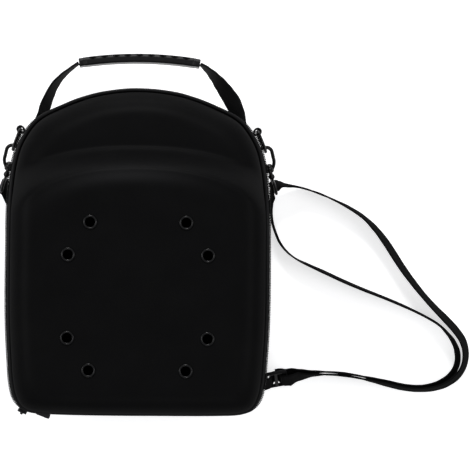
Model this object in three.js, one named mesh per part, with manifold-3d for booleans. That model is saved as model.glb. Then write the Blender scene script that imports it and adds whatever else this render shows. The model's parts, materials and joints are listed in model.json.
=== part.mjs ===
// A hard-shell hat case lying on its back, with a carrying handle and a shoulder strap.
// Millimetres: +X to the right of the case, +Y towards its handle, +Z out of its front shell.
// The case lies on z = 0, and the origin is under the middle of the case and its handle.

import * as THREE from 'three';
import { mergeVertices } from 'three/addons/utils/BufferGeometryUtils.js';
import Module from 'manifold-3d';

const wasm = await Module();
wasm.setup();

// Clearance that neighbouring pieces keep.
const gap = 0.3;

// Body, as seen from the front.
const bodyWidth = 250.4;
const bodyHeight = 307.4;
const bodyY = -17;
const wall = 4;

// Back shell.
const backDepth = 61;
const backRimInset = 3.6;
const backDraft = 5.4;
const footRadius = 16;

// Front shell: the crown zone stands higher than the brim zone above it.
const rimGap = 10;
const crownDepth = 99;
const brimDepth = 66;
const brimFall = 7;
const frontDraft = 3;
const frontRadius = 22;
const archHalfWidth = 124;
const archHeight = 80;
const archFootY = -6;
const archPower = 2.3;
const archSlope = 0.3;

// Rim bead, zip and hinge strip.
const beadRadius = 1.6;
const beadInsetSides = 3.9;
const beadInsetEnds = 1.2;
const chainHeight = 2.8;
const chainWidth = 3;
const tapeThickness = 1.5;
const tapeLap = 7;
const zipEnd = 27.6;

// Vent eyelets: half spacings of each pair across, and heights above the body's middle.
const eyeletBore = 4.4;
const eyeletBarrel = 5.3;
const eyeletFlange = 6.5;
const eyeletDome = 1.1;
const eyeletPairs = [
  { half: 43.5, y: 27 },
  { half: 63.3, y: -2.5 },
  { half: 63.5, y: -77.8 },
  { half: 44, y: -107 },
];

// Webbing of the handle and grip.
const handleZ = 42.5;
const handleWebWidth = 21;
const webThickness = 1.6;
const gripLength = 115;
const gripThickness = 8.2;
const gripWidth = 26;
const gripRise = 4.6;
const handleRise = 30.2;
const gripSlots = 9;
const gripSlotPitch = 11;
const gripSlotLength = 5;
const gripSlotDepth = 1.8;

// D-rings and their webbing tabs, on both sides of the body.
const ringWire = 1.45;
const ringWidth = 24;
const ringDepth = 20.6;
const ringZ = 42.5;
const tabWidth = 19;
const tabLoop = 2.2;
const tabFoot = 13;
const tabReach = 11;
const sides = [
  { name: 'left', way: -1, tabSpoke: 9.22, ringTurn: 21 },
  { name: 'right', way: 1, tabSpoke: 9.25, ringTurn: 23 },
];

// Snap hooks: sizes along the hook's own axis, from the barrel's foot.
const hookWire = 1.6;
const hookBow = 5.8;
const hookReach = 22;
const barrelRadius = 3.6;
const barrelLength = 6;
const stemRadius = 1.6;
const stemHead = 2.7;
const knuckleRadius = 3;
const knuckleNeck = 3;
const eyeDepth = 12;
const eyeWidth = 24;
const eyeWire = 1.4;
const hookLean = 16;
const hookFall = 33;
const gateThickness = 2.4;
const gatePin = 0.9;

// Shoulder strap.
const strapWidth = 20;
const strapThickness = 1.6;
const floorLift = 0.5;
const strapInset = 5;

// Slide buckle on the strap.
const buckleLength = 22;
const buckleWidth = 27;
const buckleThickness = 3.4;
const buckleBar = 3.2;
const buckleEnd = 2.5;
const buckleOut = 9;
const buckleUp = 32.3;
const buckleTurn = 11;
const buckleLean = 58;

// Zip slider and end tab.
const sliderLength = 9;
const sliderDepth = 3.2;
const pullLength = 22;
const pullWidth = 6;
const endTabLength = 14;
const endTabReach = 5;

// Finishes.
const finish = (color, roughness, metalness) =>
  new THREE.MeshStandardMaterial({ color, roughness, metalness });
const shellFinish = () => finish(0x141416, 0.55, 0);
const clothFinish = () => finish(0x17171a, 0.9, 0);
const gripFinish = () => finish(0x1b1b1e, 0.35, 0);
const metalFinish = () => finish(0x101012, 0.25, 1);

// Half of the body's outline, from the top to the bottom, as shares of half the height and width.
const outlineRows = [
  { y: 1, x: 0 },
  { y: 0.9885, x: 0.2 },
  { y: 0.9595, x: 0.375 },
  { y: 0.9005, x: 0.576 },
  { y: 0.81, x: 0.787 },
  { y: 0.687, x: 0.904 },
  { y: 0.565, x: 0.957 },
  { y: 0.32, x: 0.993 },
  { y: 0, x: 1 },
  { y: -0.41, x: 0.9985 },
  { y: -0.663, x: 0.983 },
  { y: -0.813, x: 0.968 },
  { y: -0.908, x: 0.938 },
  { y: -0.96, x: 0.883 },
  { y: -0.9875, x: 0.783 },
  { y: -0.997, x: 0.56 },
  { y: -1, x: 0 },
];
const half = outlineRows.length - 1;
const spokes = 4 * half;

// Outline points, one for each spoke, clockwise from the top as seen from the front.
const rightRows = outlineRows.map((row) => new THREE.Vector3(
  row.x * bodyWidth / 2,
  row.y * bodyHeight / 2,
  0,
));
const leftRows = rightRows.slice(1, -1).reverse().map((p) => new THREE.Vector3(-p.x, p.y, 0));
const outlineCurve = new THREE.CatmullRomCurve3([...rightRows, ...leftRows], true, 'centripetal');
const outline = Array.from({ length: spokes }, (_, i) => outlineCurve.getPoint(i / spokes));
const sideness = outline.map((_, i) => {
  const before = outline[(i + spokes - 1) % spokes];
  const after = outline[(i + 1) % spokes];
  const run = new THREE.Vector3().subVectors(after, before).normalize();
  return run.y * run.y;
});

// The rim bead's inset at a spoke: wide along the sides, narrow at the top and bottom.
const beadInset = (i) => beadInsetEnds + (beadInsetSides - beadInsetEnds) * sideness[i];

// A point at a whole spoke, pulled in from the outline by an inset, at a height z.
function atWhole(i, inset, z) {
  const p = outline[i];
  return new THREE.Vector3(
    p.x * (1 - inset / (bodyWidth / 2)),
    bodyY + p.y * (1 - inset / (bodyHeight / 2)),
    z,
  );
}

// The same at any place between two spokes; insetOf gives the inset at a whole spoke.
function atSpoke(k, insetOf, z) {
  const low = Math.floor(k);
  const a = atWhole(low % spokes, insetOf(low % spokes), z);
  const b = atWhole((low + 1) % spokes, insetOf((low + 1) % spokes), z);
  return a.lerp(b, k - low);
}

const smooth = (t) => {
  const s = Math.min(Math.max(t, 0), 1);
  return s * s * (3 - 2 * s);
};

// How far out a place is, against the arch where the crown zone ends (1 on the arch).
function archReach(x, y) {
  const across = Math.pow(Math.abs(x) / archHalfWidth, archPower);
  const along = Math.pow(Math.max(0, y - archFootY) / archHeight, archPower);
  return Math.pow(across + along, 1 / archPower);
}

// Height of the front face above the lid's rim, at a point measured from the body's middle.
function faceHeight(x, y) {
  const reach = archReach(x, y);
  const brim = brimDepth - brimFall * smooth((y - archHeight) / (bodyHeight / 2 - archHeight));
  return crownDepth - (crownDepth - brim) * smooth((reach - 1) / archSlope);
}

// Makes an indexed geometry, turned so that its faces point out.
function geometryOf(points, triangles) {
  let volume = 0;
  for (let i = 0; i < triangles.length; i += 3) {
    const [a, b, c] = [0, 1, 2].map((j) => points[triangles[i + j]]);
    volume += a.dot(new THREE.Vector3().crossVectors(b, c));
  }
  if (volume < 0) {
    triangles = triangles.slice().reverse();
  }
  const geometry = new THREE.BufferGeometry();
  geometry.setAttribute('position', new THREE.Float32BufferAttribute(
    points.flatMap((p) => [p.x, p.y, p.z]),
    3,
  ));
  geometry.setIndex(triangles);
  return geometry;
}

// Lofts rings of points: joined end to end as a loop, or closed by a fan at both ends.
function loft(rings, loop = false) {
  const size = rings[0].length;
  const points = rings.flat();
  const triangles = [];
  const steps = loop ? rings.length : rings.length - 1;
  for (let r = 0; r < steps; r += 1) {
    const low = r * size;
    const high = ((r + 1) % rings.length) * size;
    for (let i = 0; i < size; i += 1) {
      const j = (i + 1) % size;
      triangles.push(low + i, low + j, high + j, low + i, high + j, high + i);
    }
  }
  if (!loop) {
    for (const [r, turned] of [[0, true], [rings.length - 1, false]]) {
      const middle = new THREE.Vector3();
      rings[r].forEach((p) => middle.add(p));
      points.push(middle.divideScalar(size));
      for (let i = 0; i < size; i += 1) {
        const [a, b] = [r * size + i, r * size + (i + 1) % size];
        triangles.push(...(turned ? [b, a, points.length - 1] : [a, b, points.length - 1]));
      }
    }
  }
  return geometryOf(points, triangles);
}

// A shell: rings from a middle point down its outside, and up its inside to another.
const shellOf = (outer, inner) => loft([...outer.slice().reverse(), ...inner]);

// Turns a geometry into a solid for joining and cutting, and back.
function toSolid(geometry) {
  const bare = geometry.clone();
  bare.deleteAttribute('normal');
  bare.deleteAttribute('uv');
  const merged = mergeVertices(bare, 1e-4);
  return new wasm.Manifold(new wasm.Mesh({
    numProp: 3,
    vertProperties: Float32Array.from(merged.attributes.position.array),
    triVerts: Uint32Array.from(merged.index.array),
  }));
}

function toGeometry(solid) {
  const mesh = solid.getMesh();
  const geometry = new THREE.BufferGeometry();
  geometry.setAttribute('position', new THREE.BufferAttribute(mesh.vertProperties, 3));
  geometry.setIndex(new THREE.BufferAttribute(mesh.triVerts, 1));
  return geometry;
}

const joined = (...parts) => toGeometry(parts.map(toSolid).reduce((a, b) => a.add(b)));
const cut = (body, ...tools) =>
  toGeometry(tools.map(toSolid).reduce((a, b) => a.subtract(b), toSolid(body)));

const group = new THREE.Group();

// Adds a named mesh; matrix places it in the case's frame.
function add(name, geometry, material, matrix = new THREE.Matrix4()) {
  const mesh = new THREE.Mesh(geometry, material);
  mesh.name = name;
  mesh.applyMatrix4(matrix);
  group.add(mesh);
  return mesh;
}

// Front shell: a wall that rises from the rim, rounds over and runs in to the middle of the face.
const frontRimZ = backDepth + rimGap;
const wallSteps = [
  { rise: 0, turn: 0 },
  { rise: 1, turn: 0 },
  { rise: 1, turn: 27 },
  { rise: 1, turn: 50 },
  { rise: 1, turn: 70 },
  { rise: 1, turn: 90 },
];
const faceShares = [0.66, 0.33];

// The share of the way out to x, y at which the arch reach has a value.
function shareAt(x, y, value) {
  let low = 0;
  let high = 1;
  for (let i = 0; i < 24; i += 1) {
    const middle = (low + high) / 2;
    if (archReach(x * middle, y * middle) < value) {
      low = middle;
    } else {
      high = middle;
    }
  }
  return low;
}

// Values round the outline, evened out between neighbours.
const evened = (values) => values.map((value, i) =>
  (values.at(i - 1) + 2 * value + values[(i + 1) % values.length]) / 4);

function frontRings(skin, steps, shares) {
  const radius = frontRadius - skin;
  const inset = (i, step) => beadInset(i) + beadRadius + gap + skin
    + frontDraft * step.rise
    + radius * (1 - Math.cos(THREE.MathUtils.degToRad(step.turn)));
  const rings = steps.map((step) => outline.map((_, i) => {
    const p = atWhole(i, inset(i, step), 0);
    const top = faceHeight(p.x, p.y - bodyY) - skin;
    const lift = Math.sin(THREE.MathUtils.degToRad(step.turn));
    p.z = frontRimZ + (top - radius) * step.rise + radius * lift;
    return p;
  }));
  const edge = rings.at(-1);
  const feet = evened(edge.map((e) => Math.min(0.96, shareAt(e.x, e.y - bodyY, 1 + archSlope))));
  const shoulders = evened(edge.map((e, i) =>
    Math.min(feet[i] - 0.1, shareAt(e.x, e.y - bodyY, 1))));
  const slopeShares = feet.map((foot, i) => [
    foot,
    ...[0.3, 0.65].map((t) => THREE.MathUtils.lerp(foot, shoulders[i], t)),
    shoulders[i],
    ...shares.map((share) => share * shoulders[i]),
  ]);
  for (let r = 0; r < slopeShares[0].length; r += 1) {
    rings.push(edge.map((e, i) => {
      const share = slopeShares[i][r];
      const [x, y] = [e.x * share, (e.y - bodyY) * share];
      return new THREE.Vector3(x, y + bodyY, frontRimZ + faceHeight(x, y) - skin);
    }));
  }
  return rings;
}

const frontBody = shellOf(
  frontRings(0, wallSteps, faceShares),
  frontRings(wall, wallSteps.filter((_, i) => i !== 2 && i !== 4), [0.5]),
);

// Vent eyelets and their holes.
const eyeletSides = 12;
const faceZ = frontRimZ + crownDepth;
const eyeletPlaces = eyeletPairs.flatMap((pair) => [-1, 1].map((side) => new THREE.Vector3(
  side * pair.half,
  bodyY + pair.y,
  faceZ,
)));

function eyelet() {
  const profile = [
    [eyeletBore, -wall],
    [eyeletBarrel, -wall],
    [eyeletBarrel, gap],
    [eyeletFlange, gap],
    [eyeletFlange - 0.6, gap + eyeletDome],
    [eyeletBore, gap + eyeletDome * 0.6],
    [eyeletBore, -wall],
  ].map(([r, z]) => new THREE.Vector2(r, z));
  return new THREE.LatheGeometry(profile, eyeletSides).rotateX(Math.PI / 2);
}

const holeCutters = eyeletPlaces.map((place) => new THREE.CylinderGeometry(
  eyeletBarrel + gap,
  eyeletBarrel + gap,
  4 * wall,
  eyeletSides,
).rotateX(Math.PI / 2).translate(place.x, place.y, place.z - wall / 2));

add('front_shell', cut(frontBody, ...holeCutters), shellFinish());
eyeletPlaces.forEach((place, i) => {
  add(`eyelet_${i + 1}`, toGeometry(toSolid(eyelet())), metalFinish(),
    new THREE.Matrix4().setPosition(place));
});

// Back shell: flat where it lies, rounded at its foot, with a wall that leans out to the rim.
function backInset(skin, z) {
  const lean = backDraft * (backDepth - z) / (backDepth - footRadius);
  return backRimInset + skin + lean;
}

function backRings(skin, turns) {
  const radius = footRadius - skin;
  const rings = [outline.map((_, i) => atWhole(i, backInset(skin, backDepth), backDepth))];
  for (const turn of turns) {
    const angle = THREE.MathUtils.degToRad(turn);
    const inset = backInset(skin, footRadius) + radius * (1 - Math.cos(angle));
    const z = footRadius - radius * Math.sin(angle);
    rings.push(outline.map((_, i) => atWhole(i, inset, z)));
  }
  return rings;
}

add('back_shell', shellOf(
  backRings(0, [0, 30, 60, 90]),
  backRings(wall, [0, 45, 90]),
), shellFinish());

// A band that follows the outline between two spokes, or all the way round. Each profile
// point has a fixed inset, a share of the rim bead's inset, and a height.
function band(profile, from = 0, to = spokes) {
  const whole = to - from >= spokes;
  const places = [from];
  for (let k = Math.floor(from) + 1; k < to; k += 1) {
    places.push(k);
  }
  if (!whole) {
    places.push(to);
  }
  const rings = places.map((k) => profile.map(({ inset, bead = 0, z }) =>
    atSpoke(k % spokes, (i) => inset + bead * beadInset(i), z)));
  return loft(rings, whole);
}

const chainLow = backDepth + gap + (rimGap - chainHeight) / 2;
const chainHigh = chainLow + chainHeight;
const chainMiddle = (chainLow + chainHigh) / 2;
const backTapeOut = backRimInset - gap - tapeThickness;
const tapeTop = frontRimZ + tapeThickness;
const beadZ = tapeTop + gap + beadRadius;

const beadProfile = Array.from({ length: 5 }, (_, i) => {
  const angle = 2 * Math.PI * (i + 0.5) / 5;
  return { inset: beadRadius * Math.sin(angle), bead: 1, z: beadZ + beadRadius * Math.cos(angle) };
});

const tapeBackProfile = [
  { inset: backRimInset - gap, z: backDepth - tapeLap },
  { inset: backRimInset - gap, z: backDepth },
  { inset: chainWidth - 0.4, z: chainLow - gap },
  { inset: 0.9, z: chainLow - gap },
  { inset: backTapeOut, z: backDepth - tapeLap },
];

const chainProfile = [
  { inset: chainWidth, z: chainLow },
  { inset: chainWidth, z: chainHigh },
  { inset: 0.5, z: chainHigh },
  { inset: 0, z: chainMiddle },
  { inset: 0.5, z: chainLow },
];

const tapeFrontProfile = [
  { inset: chainWidth - 0.6, z: chainHigh + gap },
  { inset: beadRadius, bead: 1, z: frontRimZ },
  { inset: beadRadius, bead: 1, z: tapeTop },
  { inset: beadRadius - 2, bead: 1, z: tapeTop },
  { inset: beadRadius - 2.2, bead: 1, z: frontRimZ },
  { inset: 0.5, z: chainHigh + gap },
];

const hingeProfile = [
  { inset: backRimInset - gap, z: backDepth - tapeLap },
  { inset: backRimInset - gap, z: backDepth },
  { inset: beadRadius + 0.1, bead: 1, z: chainMiddle },
  { inset: beadRadius, bead: 1, z: tapeTop },
  { inset: beadRadius - 2, bead: 1, z: tapeTop },
  { inset: 0.9, z: chainMiddle },
  { inset: backTapeOut, z: backDepth - tapeLap },
];

// The zip runs from its lower left end over the top to its lower right end.
const zipFrom = spokes - zipEnd;
const zipTo = spokes + zipEnd;
const endGap = 0.05;
add('rim_piping', band(beadProfile), clothFinish());
add('tape_back', band(tapeBackProfile, zipFrom, zipTo), clothFinish());
add('zip_chain', band(chainProfile, zipFrom, zipTo), gripFinish());
add('tape_front', band(tapeFrontProfile, zipFrom, zipTo), clothFinish());
add('hinge_strip', band(hingeProfile, zipEnd + endGap, spokes - zipEnd - endGap), clothFinish());

// Outward direction of the outline at a spoke place.
function outward(k) {
  const a = atSpoke(k - 0.4, () => 0, 0);
  const b = atSpoke(k + 0.4, () => 0, 0);
  const run = new THREE.Vector3().subVectors(b, a).normalize();
  return new THREE.Vector3(-run.y, run.x, 0);
}

// A box around an axis frame: sizes along the x, y and z of the matrix, from low to high.
function block(low, high, bevel = 0) {
  const size = new THREE.Vector3().subVectors(high, low);
  const shape = new THREE.Shape([
    new THREE.Vector2(low.x + bevel, low.y),
    new THREE.Vector2(high.x - bevel, low.y),
    new THREE.Vector2(high.x, low.y + bevel),
    new THREE.Vector2(high.x, high.y - bevel),
    new THREE.Vector2(high.x - bevel, high.y),
    new THREE.Vector2(low.x + bevel, high.y),
    new THREE.Vector2(low.x, high.y - bevel),
    new THREE.Vector2(low.x, low.y + bevel),
  ].filter((p, i, all) => i === 0 || p.distanceTo(all[i - 1]) > 1e-6));
  return new THREE.ExtrudeGeometry(shape, { depth: size.z, bevelEnabled: false })
    .translate(0, 0, low.z);
}

const v3 = (x, y, z) => new THREE.Vector3(x, y, z);

// Zip slider with its hanging pull, and the folded end tab, at the lower left corner.
function frameAt(k, z) {
  const out = outward(k);
  const up = v3(0, 0, 1);
  const along = new THREE.Vector3().crossVectors(up, out);
  return new THREE.Matrix4().makeBasis(along, out, up)
    .setPosition(atSpoke(k, () => 0, z));
}

const sliderPlace = zipFrom + 0.95;
const sliderBody = block(
  v3(-sliderLength / 2, gap, -3.6),
  v3(sliderLength / 2, gap + sliderDepth, 3.6),
  0.9,
);
const sliderBridge = block(
  v3(-1.6, gap + sliderDepth - 0.5, -2.4),
  v3(1.6, gap + sliderDepth + 1.6, 2.4),
);
const sliderPull = block(
  v3(-pullWidth / 2, gap + sliderDepth - 1, -2 - pullLength),
  v3(pullWidth / 2, gap + sliderDepth + 0.6, -1.4),
  0.4,
);
add('zip_slider', joined(sliderBody, sliderBridge, sliderPull), metalFinish(),
  frameAt(sliderPlace, chainMiddle));

const endTabPlace = spokes - zipEnd - 1.2;
const endTabSeat = gap - 0.8;
const endTabShape = new THREE.Shape([
  new THREE.Vector2(-endTabLength / 2, endTabSeat),
  new THREE.Vector2(endTabLength / 2, endTabSeat),
  new THREE.Vector2(endTabLength / 2 - 1, gap + endTabReach),
  new THREE.Vector2(-endTabLength / 2 + 4, gap + 2),
]);
add('zip_end_tab', new THREE.ExtrudeGeometry(endTabShape, { depth: 11, bevelEnabled: false })
  .translate(0, 0, -5.5), clothFinish(), frameAt(endTabPlace, chainMiddle));

// Handle grip: an arched bar with finger slots along its outer edge.
const bodyTop = bodyY + bodyHeight / 2;
const gripMiddle = bodyTop + handleRise;
const gripSteps = 16;
function gripPoint(share) {
  const x = (share - 0.5) * gripLength;
  const drop = gripRise * Math.pow(2 * share - 1, 2);
  return v3(x, gripMiddle - drop, handleZ);
}
const gripEndSize = 0.72;
const gripRings = [];
for (let s = 0; s <= gripSteps; s += 1) {
  const share = s / gripSteps;
  const size = s === 0 || s === gripSteps ? gripEndSize : 1;
  const centre = gripPoint(share);
  const ahead = gripPoint(share + 0.01).sub(gripPoint(share - 0.01)).normalize();
  const out = v3(-ahead.y, ahead.x, 0);
  const [a, b] = [size * gripThickness / 2, size * gripWidth / 2];
  const corner = 2.4 * size;
  gripRings.push([
    [a, b - corner], [a - corner, b], [corner - a, b], [-a, b - corner],
    [-a, corner - b], [corner - a, -b], [a - corner, -b], [a, corner - b],
  ].map(([o, z]) => centre.clone().addScaledVector(out, o).add(v3(0, 0, z))));
}
const slotCutters = Array.from({ length: gripSlots }, (_, i) => {
  const share = 0.5 + (i - (gripSlots - 1) / 2) * gripSlotPitch / gripLength;
  const centre = gripPoint(share);
  const ahead = gripPoint(share + 0.01).sub(gripPoint(share - 0.01)).normalize();
  const out = v3(-ahead.y, ahead.x, 0);
  return block(
    v3(-gripSlotLength / 2, gripThickness / 2 - gripSlotDepth, -gripWidth / 2 + 4),
    v3(gripSlotLength / 2, gripThickness / 2 + 2, gripWidth / 2 - 4),
  ).applyMatrix4(new THREE.Matrix4().makeBasis(ahead, out, v3(0, 0, 1)).setPosition(centre));
});
add('handle_grip', cut(loft(gripRings), ...slotCutters), gripFinish());

// A flat strap along a curve. Each row has a place, and either the direction of the strap's
// width (across) or its lean: degrees away from upright, towards the right of the run.
function ribbon(rows, width, thickness, steps) {
  const curve = new THREE.CatmullRomCurve3(rows.map((r) => r.place), false, 'centripetal');
  const last = rows.length - 1;
  const ways = rows.map((row, i) => {
    if (row.across) {
      return row.across.clone();
    }
    const lean = THREE.MathUtils.degToRad(row.lean);
    const right = new THREE.Vector3().crossVectors(curve.getTangent(i / last), v3(0, 0, 1));
    return v3(0, 0, Math.cos(lean)).addScaledVector(right.normalize(), Math.sin(lean));
  });
  const rings = [];
  for (let s = 0; s <= steps; s += 1) {
    const at = s / steps * last;
    const low = Math.min(Math.floor(at), last - 1);
    const across = ways[low].clone().lerp(ways[low + 1], smooth(at - low));
    const centre = curve.getPoint(s / steps);
    const run = curve.getTangent(s / steps);
    across.addScaledVector(run, -across.dot(run)).normalize();
    const face = new THREE.Vector3().crossVectors(run, across);
    rings.push([[1, 1], [1, -1], [-1, -1], [-1, 1]].map(([a, b]) => centre.clone()
      .addScaledVector(across, a * width / 2)
      .addScaledVector(face, b * thickness / 2)));
  }
  return loft(rings);
}

// Handle webbing, from each end of the grip to the back shell's wall.
const wallPlace = (k, z, off) => atSpoke(k, () => backInset(-off, z), z);
const gripEndX = gripLength / 2 + 2 * gap;
const webClear = gap + webThickness / 2 + 0.6;
const draftLean = THREE.MathUtils.radToDeg(Math.atan(backDraft / (backDepth - footRadius)));
const webEnd = 8.55;
const handlePlace = (share, rise) => v3(share * bodyWidth / 2, bodyTop + rise, handleZ);
const leftWeb = [
  { place: v3(-gripEndX, gripMiddle - gripRise, handleZ), lean: 2 },
  { place: handlePlace(-0.5272, 19.5), lean: 4 },
  { place: handlePlace(-0.5879, 12.9), lean: 9 },
  { place: handlePlace(-0.6438, 4.2), lean: 16 },
  { place: handlePlace(-0.6813, -5.2), lean: 21 },
  { place: handlePlace(-0.7141, -15.7), lean: 26 },
  { place: handlePlace(-0.7396, -25.7), lean: 24 },
  { place: wallPlace(spokes - webEnd + 0.25, handleZ, webClear + 1), lean: 14 },
  { place: wallPlace(spokes - webEnd, handleZ, webClear), lean: draftLean },
];
const rightWeb = [
  { place: v3(gripEndX, gripMiddle - gripRise, handleZ), lean: -2 },
  { place: handlePlace(0.5160, 20.3), lean: -10 },
  { place: handlePlace(0.5671, 13.9), lean: -20 },
  { place: handlePlace(0.6182, 6.1), lean: -31 },
  { place: handlePlace(0.6629, -1.5), lean: -38 },
  { place: handlePlace(0.7077, -9.9), lean: -43 },
  { place: handlePlace(0.7428, -19.3), lean: -38 },
  { place: wallPlace(webEnd - 0.25, handleZ, webClear + 1), lean: -20 },
  { place: wallPlace(webEnd, handleZ, webClear), lean: -draftLean },
];
add('handle_webbing_left', ribbon(leftWeb, handleWebWidth, webThickness, 16), clothFinish());
add('handle_webbing_right', ribbon(rightWeb, handleWebWidth, webThickness, 16), clothFinish());

// A round wire through points in one plane, with that plane's normal.
function wire(points, normal, radius, closed) {
  const sides = 6;
  const count = points.length;
  const rings = points.map((p, i) => {
    const before = closed ? points[(i + count - 1) % count] : points[Math.max(i - 1, 0)];
    const after = closed ? points[(i + 1) % count] : points[Math.min(i + 1, count - 1)];
    const run = new THREE.Vector3().subVectors(after, before).normalize();
    const side = new THREE.Vector3().crossVectors(run, normal).normalize();
    return Array.from({ length: sides }, (_, s) => {
      const angle = 2 * Math.PI * (s + 0.5) / sides;
      return p.clone()
        .addScaledVector(normal, radius * Math.cos(angle))
        .addScaledVector(side, radius * Math.sin(angle));
    });
  });
  return loft(rings, closed);
}

const arc = (cx, cy, radius, from, to, steps) => Array.from({ length: steps + 1 }, (_, i) => {
  const angle = THREE.MathUtils.degToRad(THREE.MathUtils.lerp(from, to, i / steps));
  return [cx + radius * Math.cos(angle), cy + radius * Math.sin(angle)];
});

// D-ring in its own plane: x away from the tab, y along its flat bar.
function dRing() {
  const r = ringWidth / 2;
  const corner = 2.5;
  const outlinePoints = [
    ...arc(corner, corner - r, corner, 180, 270, 2),
    ...arc(ringDepth - r, 0, r, -90, 90, 10),
    ...arc(corner, r - corner, corner, 90, 180, 2),
  ].map(([x, y]) => v3(x, y, 0));
  return wire(outlinePoints, v3(0, 0, 1), ringWire, true);
}

// Webbing tab seen along its width: a loop round the ring's bar, a neck and a foot on the wall.
function ringTab(neck) {
  const outer = tabLoop + webThickness;
  const steps = 10;
  const open = THREE.MathUtils.radToDeg(Math.asin(webThickness / outer));
  const footY = -outer - neck;
  const shape = new THREE.Shape(arc(0, 0, outer, open - 90, 270 - open, steps).concat([
    [-webThickness, footY + webThickness],
    [-tabFoot / 2, footY + webThickness],
    [-tabFoot / 2, footY],
    [tabFoot / 2, footY],
    [tabFoot / 2, footY + webThickness],
    [webThickness, footY + webThickness],
  ]).map(([x, y]) => new THREE.Vector2(x, y)));
  shape.holes.push(new THREE.Path(arc(0, 0, tabLoop, 0, 324, 9)
    .map(([x, y]) => new THREE.Vector2(x, y))));
  const geometry = new THREE.ExtrudeGeometry(shape, { depth: tabWidth, bevelEnabled: false })
    .translate(0, 0, -tabWidth / 2);
  const places = geometry.attributes.position;
  const slope = backDraft / (backDepth - footRadius);
  for (let i = 0; i < places.count; i += 1) {
    const share = Math.min(Math.max((-outer - places.getY(i)) / neck, 0), 1);
    places.setY(i, places.getY(i) + share * slope * places.getZ(i));
  }
  return toGeometry(toSolid(geometry));
}

// Snap hook, in its own frame: x along the hook towards its tip, y towards its bow, z across.
const stemTop = barrelLength + gap;
const barrel = (radius, from, to, sides = 10) => new THREE.CylinderGeometry(
  radius,
  radius,
  to - from,
  sides,
).rotateZ(-Math.PI / 2).translate((from + to) / 2, 0, 0);
const pivot = { x: 3.4, y: -barrelRadius - 1.6 };
const lugHalf = 1;
const cheek = 1.1;

function snapHook() {
  const line = [
    [barrelLength * 0.4, barrelRadius - 1.2],
    [barrelLength, hookBow - 1.5],
    [barrelLength + 4, hookBow - 0.2],
    [(barrelLength + 4 + hookReach) / 2, hookBow],
    ...arc(hookReach, 0, hookBow, 90, -90, 8),
    [hookReach - 2, -hookBow],
  ].map(([x, y]) => v3(x, y, 0));
  const bow = wire(line, v3(0, 0, 1), hookWire, false);
  const lug = block(
    v3(pivot.x - 1.8, pivot.y - 1.8, -lugHalf),
    v3(pivot.x + 1.8, -barrelRadius + 1.3, lugHalf),
    0.5,
  );
  const pinHole = new THREE.CylinderGeometry(gatePin + gap, gatePin + gap, 8, 10)
    .rotateX(Math.PI / 2).translate(pivot.x, pivot.y, 0);
  return cut(
    joined(barrel(barrelRadius, 0, barrelLength, 12), bow, lug),
    barrel(stemRadius + gap, -1, barrelLength + 1),
    pinHole,
  );
}

// The lever that closes the hook's mouth, on its pin.
function snapGate() {
  const high = pivot.y - 0.2;
  const tip = hookReach - 2 - gap;
  const bar = block(
    v3(pivot.x + 2.2, -hookBow - gateThickness / 2, -lugHalf - gap - cheek),
    v3(tip, -hookBow + gateThickness / 2, lugHalf + gap + cheek),
    0.4,
  );
  const cheeks = [-1, 1].map((side) => {
    const near = side * (lugHalf + gap);
    const far = side * (lugHalf + gap + cheek);
    return block(
      v3(pivot.x - 1.9, high - 1.7, Math.min(near, far)),
      v3(pivot.x + 2.8, pivot.y + 0.9, Math.max(near, far)),
      0.5,
    );
  });
  const pin = new THREE.CylinderGeometry(gatePin, gatePin, 2 * (lugHalf + gap + cheek) - 0.2, 8)
    .rotateX(Math.PI / 2).translate(pivot.x, pivot.y, 0);
  return joined(bar, ...cheeks, pin);
}

const eyeTop = -knuckleNeck - knuckleRadius * 1.6;
const eyeBar = eyeTop - eyeDepth;

// The strap's eye, with the stem that the hook turns on; y runs across the eye.
function swivelEye() {
  const w = eyeWidth / 2;
  const top = eyeTop;
  const corner = 3;
  const line = [
    ...arc(top - corner, w - corner, corner, 0, 90, 2),
    ...arc(top - eyeDepth + corner, w - corner, corner, 90, 180, 2),
    ...arc(top - eyeDepth + corner, corner - w, corner, 180, 270, 2),
    ...arc(top - corner, corner - w, corner, 270, 360, 2),
  ].map(([x, y]) => v3(x, y, 0));
  const knuckle = new THREE.SphereGeometry(knuckleRadius, 8, 6)
    .translate(-knuckleNeck - knuckleRadius, 0, 0);
  return joined(
    wire(line, v3(0, 0, 1), eyeWire, true),
    knuckle,
    barrel(stemRadius, -knuckleNeck - knuckleRadius, stemTop + 0.5),
    barrel(stemHead, stemTop, stemTop + 1.6),
  );
}

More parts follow.
